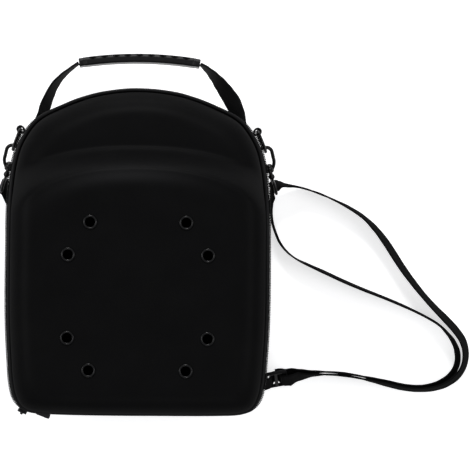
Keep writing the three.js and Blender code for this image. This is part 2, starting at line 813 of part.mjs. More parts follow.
// Both sides carry a tab, a D-ring and a snap hook; way is -1 on the left and 1 on the right.
const hookSeat = hookReach + 0.7;
const eyeBars = {};
for (const { name, way, ringTurn, tabSpoke } of sides) {
  const tabAt = way < 0 ? spokes - tabSpoke : tabSpoke;
  const out = outward(tabAt);
  const centre = wallPlace(tabAt, ringZ, gap).addScaledVector(out, tabReach);
  const turn = THREE.MathUtils.degToRad(ringTurn);
  const away = v3(way * Math.sin(turn), -Math.cos(turn), 0);
  const up = v3(0, 0, 1);
  const ringFrame = new THREE.Matrix4()
    .makeBasis(away, up, new THREE.Vector3().crossVectors(away, up)).setPosition(centre);
  add(`d_ring_${name}`, dRing(), metalFinish(), ringFrame);

  const along = new THREE.Vector3().crossVectors(out, up);
  const neck = tabReach - tabLoop - webThickness - 0.55;
  add(`ring_tab_${name}`, ringTab(neck), clothFinish(),
    new THREE.Matrix4().makeBasis(along, out, up).setPosition(centre));

  const lean = THREE.MathUtils.degToRad(hookLean);
  const fall = THREE.MathUtils.degToRad(hookFall);
  const axis = v3(
    -way * Math.sin(lean) * Math.cos(fall),
    Math.cos(lean) * Math.cos(fall),
    Math.sin(fall),
  );
  const bowWay = v3(way, 0, 0);
  bowWay.addScaledVector(axis, -bowWay.dot(axis)).normalize();
  const flat = new THREE.Vector3().crossVectors(axis, bowWay);
  const hooked = centre.clone().addScaledVector(away, ringDepth);
  const foot = hooked.clone().addScaledVector(axis, -hookSeat);
  const hookFrame = new THREE.Matrix4().makeBasis(axis, bowWay, flat).setPosition(foot);
  add(`snap_hook_${name}`, snapHook(), metalFinish(), hookFrame);
  add(`snap_gate_${name}`, snapGate(), metalFinish(), hookFrame);

  const barWay = up.clone().addScaledVector(axis, -up.dot(axis)).normalize();
  const eyeFrame = new THREE.Matrix4()
    .makeBasis(axis, barWay, new THREE.Vector3().crossVectors(axis, barWay)).setPosition(foot);
  add(`swivel_eye_${name}`, swivelEye(), metalFinish(), eyeFrame);
  eyeBars[name] = { middle: v3(eyeBar, 0, 0).applyMatrix4(eyeFrame), axis, barWay };
}

// Slide buckle: a flat plate with two slots, turned along the strap and leaning over it.
function slideBuckle() {
  const slot = (buckleLength - 3 * buckleBar) / 2;
  const plate = block(
    v3(-buckleLength / 2, -buckleWidth / 2, -buckleThickness / 2),
    v3(buckleLength / 2, buckleWidth / 2, buckleThickness / 2),
    2,
  );
  const slots = [-1, 1].map((side) => block(
    v3(side * (buckleBar / 2 + slot / 2) - slot / 2, -buckleWidth / 2 + buckleEnd, -buckleThickness),
    v3(side * (buckleBar / 2 + slot / 2) + slot / 2, buckleWidth / 2 - buckleEnd, buckleThickness),
    0.6,
  ));
  return cut(plate, ...slots);
}
const buckleRun = v3(
  Math.cos(THREE.MathUtils.degToRad(buckleTurn)),
  Math.sin(THREE.MathUtils.degToRad(buckleTurn)),
  0,
);
const buckleX = bodyWidth / 2 + buckleOut;
const buckleY = bodyY - bodyHeight / 2 + buckleUp;
const buckleTip = THREE.MathUtils.degToRad(buckleLean);
const buckleSide = new THREE.Vector3().crossVectors(v3(0, 0, 1), buckleRun);
const buckleAcross = v3(0, 0, Math.sin(buckleTip)).addScaledVector(buckleSide, Math.cos(buckleTip));
const buckleZ = floorLift + Math.sin(buckleTip) * buckleWidth / 2
  + Math.cos(buckleTip) * buckleThickness / 2;
add('slide_buckle', slideBuckle(), gripFinish(), new THREE.Matrix4()
  .makeBasis(buckleRun, buckleAcross, new THREE.Vector3().crossVectors(buckleRun, buckleAcross))
  .setPosition(v3(buckleX, buckleY, buckleZ)));

// Shoulder strap, lying on its edge. Each row is a place that the strap's middle passes (x, or
// out from the case's right side, and y), the lean of its width away from upright towards the
// right of its run, and a lift off the floor.
function laid(rows) {
  return rows.map(({ out, x = bodyWidth / 2 + out, y, lean, lift = 0 }) => {
    const tilt = THREE.MathUtils.degToRad(lean);
    const rest = strapWidth / 2 * Math.cos(tilt) + strapThickness / 2 * Math.abs(Math.sin(tilt));
    return { place: v3(x, y, floorLift + rest + lift), lean };
  });
}

// Rows through the buckle: along it, and off its plate towards the side that faces up.
const buckleFace = new THREE.Vector3().crossVectors(buckleRun, buckleAcross);
const buckleOff = buckleThickness / 2 + strapThickness / 2 + 2 * gap;
const buckleSlot = (buckleLength - buckleBar) / 4;
function threaded(rows) {
  return rows.map(({ along, off }) => ({
    place: v3(buckleX, buckleY, buckleZ)
      .addScaledVector(buckleRun, along)
      .addScaledVector(buckleFace, off),
    across: buckleAcross,
  }));
}

// Rows round the right eye's bar: below it, away from the hook, and aside, away from the case.
const rightBar = eyeBars.right;
const aside = new THREE.Vector3().crossVectors(rightBar.axis, rightBar.barWay);
function roundBar(rows) {
  return rows.map((row) => ({
    place: rightBar.middle.clone()
      .addScaledVector(rightBar.axis, -row.below)
      .addScaledVector(aside, row.aside),
    across: rightBar.barWay,
  }));
}

// The sewn end loop round the left eye's bar, and the block where its two layers meet.
const loopInner = eyeWire + gap + 0.3;
const loopBlock = 14;
const loopTurn = THREE.MathUtils.degToRad(35);
const leftBar = eyeBars.left;
const inward = new THREE.Vector3().crossVectors(leftBar.barWay, leftBar.axis).normalize();
inward.multiplyScalar(Math.sign(inward.x));
const loopWay = leftBar.axis.clone().multiplyScalar(-Math.cos(loopTurn))
  .addScaledVector(inward, Math.sin(loopTurn));

function endLoop() {
  const outer = loopInner + strapThickness;
  const open = THREE.MathUtils.radToDeg(Math.asin(strapThickness / outer));
  const shape = new THREE.Shape([
    ...arc(0, 0, outer, open, 360 - open, 12),
    [loopBlock, -strapThickness],
    [loopBlock, strapThickness],
  ].map(([x, y]) => new THREE.Vector2(x, y)));
  shape.holes.push(new THREE.Path(arc(0, 0, loopInner, 0, 324, 9)
    .map(([x, y]) => new THREE.Vector2(x, y))));
  return new THREE.ExtrudeGeometry(shape, { depth: strapWidth, bevelEnabled: false })
    .translate(0, 0, -strapWidth / 2);
}
add('strap_end_loop', toGeometry(toSolid(endLoop())), clothFinish(), new THREE.Matrix4()
  .makeBasis(loopWay, new THREE.Vector3().crossVectors(leftBar.barWay, loopWay), leftBar.barWay)
  .setPosition(leftBar.middle));

const offLoop = (along) => ({
  place: leftBar.middle.clone().addScaledVector(loopWay, loopBlock + along),
  across: leftBar.barWay,
});
const behindSpokes = [48, 47, 46, 45, 44, 42, 40, 39, 38, 37, 36, 35, 34, 32, 30, 29, 28, 27, 26];
const rearRows = [
  offLoop(gap),
  offLoop(3),
  ...laid([
    { x: -120.3, y: 27, lean: 14, lift: 0.8 },
    { x: -119.5, y: 18, lean: 6 },
    ...behindSpokes.map((spoke) => {
      const { x, y } = atSpoke(spoke, () => strapInset, 0);
      return { x, y, lean: 0 };
    }),
    { x: 111.4, y: -154.6, lean: -2 },
    { x: 115.3, y: -150, lean: -21 },
  ]),
  ...threaded([
    { along: -14, off: buckleOff + 1.5 },
    { along: -9.4, off: buckleOff + 0.6 },
    { along: -buckleSlot - 2.4, off: buckleOff },
    { along: -buckleSlot, off: 0 },
    { along: 2.4 - buckleSlot, off: -buckleOff },
    { along: -gap / 2, off: -buckleOff },
  ]),
];
const outerRows = [
  ...threaded([
    { along: gap / 2, off: -buckleOff },
    { along: buckleSlot - 2.4, off: -buckleOff },
    { along: buckleSlot, off: 0 },
    { along: buckleSlot + 2.4, off: buckleOff },
    { along: 9.4, off: buckleOff + 0.5 },
    { along: 14, off: buckleOff + 0.9 },
  ]),
  ...laid([
    { out: 31.8, y: -136.4, lean: -22 },
    { out: 44.8, y: -134.4, lean: -8 },
    { out: 59.8, y: -133.8, lean: -2 },
    { out: 74.8, y: -134.7, lean: 0 },
    { out: 88.8, y: -136.9, lean: -1 },
    { out: 102.8, y: -139.8, lean: -3 },
    { out: 116.8, y: -143.1, lean: -5 },
    { out: 131.8, y: -146.4, lean: -6 },
    { out: 146.8, y: -147.7, lean: -7 },
    { out: 161.8, y: -146.2, lean: -8 },
    { out: 173.8, y: -142, lean: -10 },
    { out: 183.8, y: -134.5, lean: -12 },
    { out: 189.8, y: -125, lean: -12 },
    { out: 191.8, y: -113, lean: -12 },
    { out: 189.3, y: -101, lean: -12 },
    { out: 182.8, y: -91, lean: -12 },
    { out: 172.8, y: -80, lean: -11 },
    { out: 161.8, y: -69, lean: -10 },
    { out: 150.8, y: -57, lean: -11 },
    { out: 139.8, y: -43.5, lean: -13 },
    { out: 129.8, y: -30, lean: -14 },
    { out: 121.3, y: -17, lean: -14 },
    { out: 113.3, y: -5, lean: -13 },
    { out: 103.8, y: 7, lean: -10 },
    { out: 91.8, y: 18.5, lean: -7 },
    { out: 77.8, y: 27.5, lean: -5 },
    { out: 63.8, y: 34.5, lean: -3 },
    { out: 49.8, y: 40.5, lean: -1 },
    { out: 37.8, y: 44.6, lean: -3, lift: 0.2 },
    { out: 28.8, y: 46.8, lean: -9, lift: 2.6 },
    { out: 19.8, y: 48.3, lean: -21, lift: 7 },
  ]),
  ...roundBar([
    { aside: 7.5, below: -2.8 },
    { aside: 3, below: -2.7 },
    { aside: gap / 2, below: -2.65 },
  ]),
];
const innerRows = [
  ...roundBar([
    { aside: -gap / 2, below: -2.65 },
    { aside: -1.9, below: -1.95 },
    { aside: -2.7, below: 0 },
    { aside: -2.8, below: 5 },
  ]),
  ...laid([
    { out: 3.0, y: 33, lean: -5, lift: 3.2 },
    { out: 2.8, y: 26, lean: -2, lift: 0.8 },
    { out: 3.4, y: 18.5, lean: 0 },
    { out: 4.6, y: 11, lean: 0 },
    { out: 7.2, y: 3, lean: 0 },
    { out: 11.3, y: -6.5, lean: 0 },
    { out: 18.3, y: -15.5, lean: 1 },
    { out: 27.8, y: -22.7, lean: 2 },
    { out: 39.8, y: -28.5, lean: 3 },
    { out: 54.8, y: -35.2, lean: 4 },
    { out: 72.8, y: -43.4, lean: 4 },
    { out: 91.8, y: -51.3, lean: 3 },
    { out: 110.8, y: -58.6, lean: 3 },
    { out: 127.8, y: -65.5, lean: 3 },
    { out: 142.8, y: -72.2, lean: 2 },
    { out: 155.8, y: -78.8, lean: 2 },
    { out: 165.8, y: -85, lean: 3 },
    { out: 173.8, y: -93, lean: 6 },
    { out: 180.3, y: -102, lean: 10 },
    { out: 183.8, y: -112, lean: 12 },
    { out: 183.6, y: -122, lean: 12 },
    { out: 179.3, y: -131.2, lean: 12 },
    { out: 170.8, y: -138.4, lean: 10 },
    { out: 160.3, y: -143, lean: 8 },
    { out: 146.8, y: -145.1, lean: 7 },
    { out: 131.8, y: -144, lean: 6 },
    { out: 117.3, y: -140.8, lean: 5 },
    { out: 103.3, y: -137.5, lean: 3 },
    { out: 89.3, y: -134.6, lean: 1 },
    { out: 74.8, y: -132.4, lean: 0 },
    { out: 59.8, y: -131.3, lean: 2 },
    { out: 44.8, y: -131.4, lean: 8 },
    { out: 31.8, y: -132.2, lean: 20 },
  ]),
  ...threaded([
    { along: 14, off: -buckleOff },
    { along: 10, off: -buckleOff - 0.2 },
    { along: 5.5, off: -buckleOff - strapThickness - 0.2 },
    { along: 0, off: -buckleOff - strapThickness - 0.5 },
  ]),
];
const strapSteps = (rows) => Math.round(1.6 * (rows.length - 1));
add('strap_rear', ribbon(rearRows, strapWidth, strapThickness, strapSteps(rearRows)), clothFinish());
add('strap_outer', ribbon(outerRows, strapWidth, strapThickness, strapSteps(outerRows)),
  clothFinish());
add('strap_inner', ribbon(innerRows, strapWidth, strapThickness, strapSteps(innerRows)),
  clothFinish());

// The origin goes under the middle of everything but the strap and its buckle.
const onStrap = ['strap_end_loop', 'strap_rear', 'strap_outer', 'strap_inner', 'slide_buckle'];
const caseBox = new THREE.Box3();
group.updateMatrixWorld(true);
group.children.filter((mesh) => !onStrap.includes(mesh.name))
  .forEach((mesh) => caseBox.expandByObject(mesh, true));
const middle = caseBox.getCenter(v3(0, 0, 0));
group.children.forEach((mesh) => mesh.position.sub(v3(middle.x, middle.y, 0)));

export default group;
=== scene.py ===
"""A hat case: moulded shells with a zipped rim, vent eyelets, a handle, snap hooks and a strap.

Sizes are millimetres in the case's drawing frame: +X to the right of the case, +Y towards its
handle, +Z out of its front shell, lying on z = 0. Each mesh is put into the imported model's frame,
in metres, as it is made.
"""

import sys
import json
import logging
import math
from dataclasses import dataclass, field
from enum import Enum
from typing import Any, Callable, Sequence

import bpy
import numpy as np
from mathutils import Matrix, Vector

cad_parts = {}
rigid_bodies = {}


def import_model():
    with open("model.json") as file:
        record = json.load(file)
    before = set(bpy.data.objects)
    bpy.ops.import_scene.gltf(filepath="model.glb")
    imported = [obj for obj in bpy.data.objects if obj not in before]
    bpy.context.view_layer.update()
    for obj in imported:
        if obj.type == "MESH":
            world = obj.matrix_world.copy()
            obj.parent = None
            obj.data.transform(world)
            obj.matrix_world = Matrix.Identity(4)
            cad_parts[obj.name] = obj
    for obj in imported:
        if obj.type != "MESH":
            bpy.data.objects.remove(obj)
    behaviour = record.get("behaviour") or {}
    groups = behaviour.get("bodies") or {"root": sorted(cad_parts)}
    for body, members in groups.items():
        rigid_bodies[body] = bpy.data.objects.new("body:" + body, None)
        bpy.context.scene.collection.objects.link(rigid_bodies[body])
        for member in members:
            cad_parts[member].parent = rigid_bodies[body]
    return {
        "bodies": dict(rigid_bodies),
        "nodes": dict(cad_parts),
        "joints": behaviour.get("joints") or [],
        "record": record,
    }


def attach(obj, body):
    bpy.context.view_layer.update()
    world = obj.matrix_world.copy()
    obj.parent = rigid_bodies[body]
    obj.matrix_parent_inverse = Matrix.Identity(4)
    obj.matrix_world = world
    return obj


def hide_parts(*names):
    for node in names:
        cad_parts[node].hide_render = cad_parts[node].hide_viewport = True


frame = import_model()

Array = np.ndarray
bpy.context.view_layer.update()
log = logging.getLogger("hat_case")

# From the drawing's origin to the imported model's origin.
SHIFT = np.array([-0.44585, 2.19757, 0.0])
# Clearance between pieces that lie against each other.
GAP = 0.3
UP = np.array([0.0, 0.0, 1.0])
UPRIGHT = np.array([[0, 0, 1.0], [1, 0, 0], [0, 1, 0]])
# Edges sharper than these many degrees are shaded sharp.
CREASE, SOFT_CREASE = 42.0, 50.0
THREAD_RADIUS = 0.26
# Points across a band's face, and the fuller thread along its edges.
BAND_POINTS = 11
SELVEDGE_RISE, SELVEDGE_INSET, SELVEDGE_SPREAD = 0.12, 1.2, 0.7


class Side(Enum):
    """A side of the case, as seen from its front."""

    LEFT = -1
    RIGHT = 1

    @property
    def word(self) -> str:
        """The side's name in node and body names."""
        return self.name.lower()


class Weave(Enum):
    """How a cloth is woven."""

    PLAIN = "plain"
    RIBBED = "ribbed"
    HERRINGBONE = "herringbone"


def unit(vectors: Array) -> Array:
    """Vectors divided by their own lengths."""
    vectors = np.asarray(vectors, float)
    return vectors / np.maximum(np.linalg.norm(vectors, axis=-1, keepdims=True), 1e-12)


def smooth(t: Array) -> Array:
    """The ease curve 3 t^2 - 2 t^3, held to 0 and 1 outside them."""
    t = np.clip(t, 0.0, 1.0)
    return t * t * (3 - 2 * t)


# ---- Curves ----

def spline(points: Array, steps: int, closed: bool = False) -> Array:
    """A centripetal Catmull-Rom curve.

    Between two points it is the cubic with their places and with slopes from the neighbours,
    each weighted by the square root of its distance.

    Args:
        points: The points that the curve passes, one row each.
        steps: Samples for each stretch between two points.
        closed: Whether the curve runs back to its first point.

    Returns:
        The samples, one row each, with the last point if the curve is open.
    """
    p = np.asarray(points, float)
    if closed:
        ext = np.vstack([p[-1:], p, p[:2]])
    else:
        ext = np.vstack([2 * p[:1] - p[1:2], p, 2 * p[-1:] - p[-2:-1]])
    p0, p1, p2, p3 = ext[:-3], ext[1:-2], ext[2:-1], ext[3:]
    d0, d1, d2 = (np.sqrt(np.linalg.norm(b - a, axis=1))[:, None] for a, b in
                  ((p0, p1), (p1, p2), (p2, p3)))
    t1 = ((p1 - p0) / d0 - (p2 - p0) / (d0 + d1) + (p2 - p1) / d1) * d1
    t2 = ((p2 - p1) / d1 - (p3 - p1) / (d1 + d2) + (p3 - p2) / d2) * d1
    w = (np.arange(steps) / steps)[None, :, None]
    a, b, m, n = (v[:, None, :] for v in (p1, p2, t1, t2))
    line = a + m * w + (3 * (b - a) - 2 * m - n) * w ** 2 + (2 * (a - b) + m + n) * w ** 3
    line = line.reshape(-1, p.shape[1])
    return line if closed else np.vstack([line, p[-1:]])


def lengths(line: Array, closed: bool = False) -> Array:
    """Length run at each point of a line, with one more value where it closes."""
    ends = np.vstack([line, line[:1]]) if closed else line
    return np.concatenate([[0.0], np.cumsum(np.linalg.norm(np.diff(ends, axis=0), axis=1))])


def even(line: Array, count: int, closed: bool = False) -> Array:
    """The line resampled at count places, evenly along its length."""
    run = lengths(line, closed)
    ends = np.vstack([line, line[:1]]) if closed else line
    at = np.linspace(0, run[-1], count + 1)[:-1] if closed else np.linspace(0, run[-1], count)
    return np.stack([np.interp(at, run, column) for column in ends.T], -1)


def tangents(line: Array, closed: bool = False) -> Array:
    """Unit run of a line at each point, from its two neighbours."""
    if closed:
        return unit(np.roll(line, -1, 0) - np.roll(line, 1, 0))
    return unit(np.gradient(line, axis=0))


def arc(cx: float, cy: float, radius: float, start: float, end: float, steps: int) -> Array:
    """Points on an arc in a plane, from one angle to another in degrees."""
    angle = np.radians(np.linspace(start, end, steps + 1))
    return np.stack([cx + radius * np.cos(angle), cy + radius * np.sin(angle)], -1)


def in_plane(flat: Array, axes: Array, centre: Array) -> Array:
    """Points of a plane, put in place along the first two of its axes."""
    return centre + flat[:, :1] * axes[0] + flat[:, 1:] * axes[1]


def rounded(corners: Array, rounds: int = 3) -> Array:
    """A closed outline with its corners cut at quarters, again and again, until it is round."""
    p = np.asarray(corners, float)
    for _ in range(rounds):
        q = np.roll(p, -1, 0)
        p = np.stack([0.75 * p + 0.25 * q, 0.25 * p + 0.75 * q], 1).reshape(-1, p.shape[1])
    return p


# ---- Surfaces ----

@dataclass
class Patch:
    """A grid of points, rows along the piece and columns across it, with its lengths as UVs.

    Attributes:
        points: Rows by columns by three, in drawing millimetres.
        along: Length at each row, and one more where the rows wrap.
        across: Length at each column, and one more where the columns wrap.
        rows_wrap: Whether the last row joins the first.
        columns_wrap: Whether the last column joins the first.
        capped: Whether fans close the first and the last row.
        uv: UVs in millimetres for each point, in place of the lengths.
    """

    points: Array
    along: Array | None = None
    across: Array | None = None
    rows_wrap: bool = False
    columns_wrap: bool = True
    capped: bool = True
    uv: Array | None = None

    def faces(self) -> tuple[Array, Array, Array, Array]:
        """Face r, c joins (r, c), (r, c + 1), (r + 1, c + 1) and (r + 1, c).

        The corners are counted on past a wrap, so that the UVs don't jump there. A fan joins
        each end row to its mean. A closed patch whose volume comes out negative is turned round.

        Returns:
            Vertices, face corners, the number of corners of each face, and the corners' UVs.
        """
        rows, columns = self.points.shape[:2]
        r, c = np.meshgrid(np.arange(rows - (not self.rows_wrap)),
                           np.arange(columns - (not self.columns_wrap)), indexing="ij")
        rr = np.stack([r, r, r + 1, r + 1], -1).reshape(-1, 4)
        cc = np.stack([c, c + 1, c + 1, c], -1).reshape(-1, 4)
        vertices = self.points.reshape(-1, 3)
        index = (rr % rows) * columns + cc % columns
        if self.uv is None:
            uv = np.stack([self.along[rr], self.across[cc]], -1)
        else:
            uv = self.uv.reshape(-1, 2)[index]
        corners, counts, uvs = [index.ravel()], [np.full(len(index), 4)], [uv.reshape(-1, 2)]
        if self.capped and not self.rows_wrap:
            for row, step in ((0, 1), (rows - 1, 0)):
                around = np.arange(columns)
                a, b = (around + step) % columns, (around + 1 - step) % columns
                fan = np.stack([row * columns + a, row * columns + b,
                                np.full(columns, len(vertices))], -1)
                vertices = np.vstack([vertices, self.points[row].mean(0)])
                if self.uv is None:
                    mid = np.full(columns, self.across[:columns].mean())
                    fan_uv = np.stack([np.full((columns, 3), self.along[row]),
                                       np.stack([self.across[a], self.across[b], mid], -1)], -1)
                else:
                    edge = self.uv[row]
                    mean = np.repeat(edge.mean(0)[None], columns, 0)
                    fan_uv = np.stack([edge[a], edge[b], mean], 1)
                corners.append(fan.ravel())
                counts.append(np.full(columns, 3))
                uvs.append(fan_uv.reshape(-1, 2))
        corners, counts, uvs = (np.concatenate(x) for x in (corners, counts, uvs))
        if self.columns_wrap and (self.rows_wrap or self.capped):
            corners, uvs = turned_out(vertices, corners, counts, uvs)
        return vertices, corners, counts, uvs


def turned_out(vertices: Array, corners: Array, counts: Array, uvs: Array) -> tuple[Array, Array]:
    """Reverses every face where the sum of its fan's signed volumes is negative.

    Args:
        vertices: The points.
        corners: Vertex numbers, face after face.
        counts: The number of corners of each face.
        uvs: One UV for each corner.

    Returns:
        The corners and the UVs, turned where that was needed.
    """
    starts = np.concatenate([[0], np.cumsum(counts)[:-1]])
    face = np.repeat(np.arange(len(counts)), counts)
    place = np.arange(len(corners)) - starts[face]
    inner = (place > 0) & (place < counts[face] - 1)
    at = np.nonzero(inner)[0]
    v = vertices - vertices.mean(0)
    a, b, c = v[corners[starts[face[at]]]], v[corners[at]], v[corners[at + 1]]
    if np.einsum("ij,ij->", a, np.cross(b, c)) >= 0:
        return corners, uvs
    order = starts[face] + counts[face] - 1 - place
    return corners[order], uvs[order]


@dataclass
class Flock:
    """One small closed patch, repeated at many places.

    Attributes:
        shape: The patch, about its own origin.
        places: One point for each copy.
        axes: For each copy, three unit vectors for the shape's x, y and z.
    """

    shape: Patch
    places: Array
    axes: Array

    def faces(self) -> tuple[Array, Array, Array, Array]:
        """A copy's point is its place plus the shape's x, y and z times the copy's axes.

        Returns:
            Vertices, face corners, the number of corners of each face, and the corners' UVs.
        """
        vertices, corners, counts, uvs = self.shape.faces()
        count = len(self.places)
        moved = self.places[:, None, :] + np.einsum("vk,nkj->nvj", vertices, self.axes)
        offset = np.arange(count)[:, None] * len(vertices)
        all_corners = (corners[None, :] + offset).ravel()
        all_uvs = uvs[None] + np.stack([np.arange(count) * 0.37, np.zeros(count)], -1)[:, None]
        return moved.reshape(-1, 3), all_corners, np.tile(counts, count), all_uvs.reshape(-1, 2)


Surface = Patch | Flock


def make_mesh(name: str, surfaces: Sequence[Surface], crease: float = CREASE) -> bpy.types.Mesh:
    """Joins surfaces into one mesh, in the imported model's frame.

    Args:
        name: The mesh's name.
        surfaces: Patches and flocks, in drawing millimetres.
        crease: Edges sharper than this many degrees are shaded sharp.

    Returns:
        The mesh, with one UV map in metres.
    """
    made = [s.faces() for s in surfaces]
    offsets = np.concatenate([[0], np.cumsum([len(m[0]) for m in made])[:-1]]).astype(int)
    vertices = (np.vstack([m[0] for m in made]) + SHIFT) * 0.001
    corners = np.concatenate([m[1] + o for m, o in zip(made, offsets)])
    counts = np.concatenate([m[2] for m in made])
    uvs = np.vstack([m[3] for m in made]) * 0.001
    mesh = bpy.data.meshes.new(name)
    mesh.vertices.add(len(vertices))
    mesh.loops.add(len(corners))
    mesh.polygons.add(len(counts))
    mesh.vertices.foreach_set("co", vertices.astype(np.float32).ravel())
    mesh.loops.foreach_set("vertex_index", corners.astype(np.int32))
    mesh.polygons.foreach_set("loop_start", np.concatenate([[0], np.cumsum(counts)[:-1]])
                              .astype(np.int32))
    mesh.update(calc_edges=True)
    layer = mesh.uv_layers.new(name="lengths")
    layer.data.foreach_set("uv", uvs.astype(np.float32).ravel())
    mesh.polygons.foreach_set("use_smooth", np.ones(len(counts), bool))
    mesh.set_sharp_from_angle(angle=math.radians(crease))
    mesh.update()
    return mesh


def sweep(line: Array, a_way: Array, b_way: Array, outline: Array, closed: bool = False,
          scale: Array | None = None) -> Patch:
    """Carries a flat closed outline along a line: point = line + a * a_way + b * b_way.

    Args:
        line: The path's points.
        a_way: Direction of the outline's first measure, one for all or one for each point.
        b_way: Direction of its second measure.
        outline: Closed outline, one row of a and b for each corner.
        closed: Whether the path runs back to its start.
        scale: Size of the outline at each point, one number or a pair for a and b.

    Returns:
        The swept surface, with fans at its ends where the path is open.
    """
    line = np.asarray(line, float)
    a_way = np.broadcast_to(np.asarray(a_way, float), line.shape)
    b_way = np.broadcast_to(np.asarray(b_way, float), line.shape)
    size = np.ones((len(line), 2)) if scale is None else np.asarray(scale, float)
    size = size[:, None] * np.ones(2) if size.ndim == 1 else size
    ab = outline[None] * size[:, None, :]
    points = line[:, None] + ab[..., :1] * a_way[:, None] + ab[..., 1:] * b_way[:, None]
    return Patch(points, lengths(line, closed), lengths(outline, True), rows_wrap=closed)


def tube(line: Array, normal: Array, radius: float | Array, closed: bool = False,
         sides: int = 18) -> Patch:
    """A round tube about a line that lies in or near a plane with the given normal."""
    side = unit(np.cross(tangents(line, closed), normal))
    circle = arc(0, 0, 1, 0, 360, sides)[:-1]
    scale = np.broadcast_to(np.asarray(radius, float), len(line))
    patch = sweep(line, np.broadcast_to(normal, line.shape), side, circle, closed, scale)
    patch.across = lengths(circle * float(np.mean(scale)), True)
    return patch


def lathe(profile: Array, axes: Array, centre: Array, closed: bool = False,
          sides: int = 40) -> Patch:
    """Turns a profile of heights and radii about the first of three axes, through a centre.

    The point at height h, radius r and angle t is centre + h x + r (cos t y + sin t z).
    """
    profile = np.asarray(profile, float)
    angle = np.linspace(0, 2 * np.pi, sides, endpoint=False)
    ring = np.cos(angle)[:, None] * axes[1] + np.sin(angle)[:, None] * axes[2]
    points = centre + profile[:, None, :1] * axes[0] + profile[:, None, 1:] * ring[None]
    around = np.linspace(0, 2 * np.pi, sides + 1) * float(profile[:, 1].max())
    return Patch(points, lengths(profile, closed), around, rows_wrap=closed)


def slab(outline: Array, low: float, high: float, bevel: float, axes: Array,
         centre: Array) -> Patch:
    """A plate with rounded edges.

    The outline lies along the first two axes. Near each face it draws in by
    bevel * (1 - cos t) while the height grows by bevel * sin t, for t up to a right angle.

    Args:
        outline: Closed outline, one row of x and y for each corner.
        low: Height of the lower face along the third axis.
        high: Height of the upper face.
        bevel: Radius of the edges.
        axes: Three unit vectors.
        centre: The outline's origin.

    Returns:
        The closed plate.
    """
    outline = np.asarray(outline, float)
    run = tangents(outline, True)
    inward = np.stack([-run[:, 1], run[:, 0]], -1)
    x, y = outline.T
    if np.sum(x * np.roll(y, -1) - y * np.roll(x, -1)) < 0:
        inward = -inward
    turn = np.radians(np.linspace(90, 0, 5))
    draw = np.concatenate([bevel * (1 - np.cos(turn)), bevel * (1 - np.cos(turn[::-1]))])
    height = np.concatenate([low + bevel * (1 - np.sin(turn)),
                             high - bevel * (1 - np.sin(turn[::-1]))])
    flat = outline[None] + inward[None] * draw[:, None, None]
    inner = 0.55
    flat = np.concatenate([flat[:1] * inner, flat, flat[-1:] * inner])
    height = np.concatenate([height[:1], height, height[-1:]])
    points = (centre + flat[..., :1] * axes[0] + flat[..., 1:] * axes[1]
              + height[:, None, None] * axes[2])
    rows = lengths(np.stack([np.concatenate([[0], draw, [0]]), height], -1))
    return Patch(points, rows, lengths(outline, True))


def box_outline(half_x: float, half_y: float, corner: float, steps: int = 5) -> Array:
    """A rectangle about the origin with round corners."""
    x, y = half_x - corner, half_y - corner
    return np.vstack([arc(x, y, corner, 0, 90, steps), arc(-x, y, corner, 90, 180, steps),
                      arc(-x, -y, corner, 180, 270, steps), arc(x, -y, corner, 270, 360, steps)])


def band_outline(width: float, thickness: float) -> Array:
    """Section of a woven band: flat faces, round edges, and a fuller thread along each edge."""
    r = thickness / 2
    flat = np.linspace(-width / 2 + r, width / 2 - r, BAND_POINTS)
    full = 1 + SELVEDGE_RISE * np.exp(
        -((np.abs(flat) - (width / 2 - SELVEDGE_INSET)) / SELVEDGE_SPREAD) ** 2)
    top = np.stack([flat, r * full], -1)
    right = arc(width / 2 - r, 0, r, 90, -90, 6)[1:-1]
    low = np.stack([flat[::-1], -r * full], -1)
    left = arc(-width / 2 + r, 0, r, 270, 90, 6)[1:-1]
    return np.vstack([top, right, low, left])


def thread(length: float, radius: float) -> Patch:
    """One stitch: a thin capsule along x that sinks at both ends, lying on z = 0."""
    t = np.linspace(-1, 1, 6)
    line = np.stack([t * length / 2, 0 * t, radius * (0.9 - 1.5 * t ** 4)], -1)
    size = radius * np.sqrt(np.maximum(1 - 0.75 * t ** 4, 0.05))
    return tube(line, np.array([0.0, 1.0, 0.0]), size, sides=6)


def stitches(line: Array, normals: Array, pitch: float, length: float = 2.2) -> Flock:
    """A row of stitches on a surface, evenly along a line.

    Args:
        line: Points on the surface.
        normals: The surface's outward direction, one for all or one for each point.
        pitch: Distance from stitch to stitch.
        length: Length of each stitch.

    Returns:
        The stitches.
    """
    line = np.asarray(line, float)
    normals = np.broadcast_to(np.asarray(normals, float), line.shape)
    count = max(int(lengths(line)[-1] / pitch), 2)
    both = even(np.hstack([line, normals]), count)
    run = tangents(both[:, :3])
    out = unit(both[:, 3:] - np.sum(both[:, 3:] * run, -1, keepdims=True) * run)
    axes = np.stack([run, np.cross(out, run), out], 1)
    return Flock(thread(length, THREAD_RADIUS), both[:, :3], axes)


# ---- Finishes ----

def sign(operation: str, turned: bool = False) -> Callable[["Num", "Num | float"], "Num"]:
    """A method for an arithmetic sign between two numbers.

    Args:
        operation: The Math node's operation.
        turned: Whether the other number comes first.

    Returns:
        The method.
    """
    def method(this: "Num", other: "Num | float") -> "Num":
        """The sign's result."""
        return this.made(operation, other, this) if turned else this.made(operation, this, other)

    return method


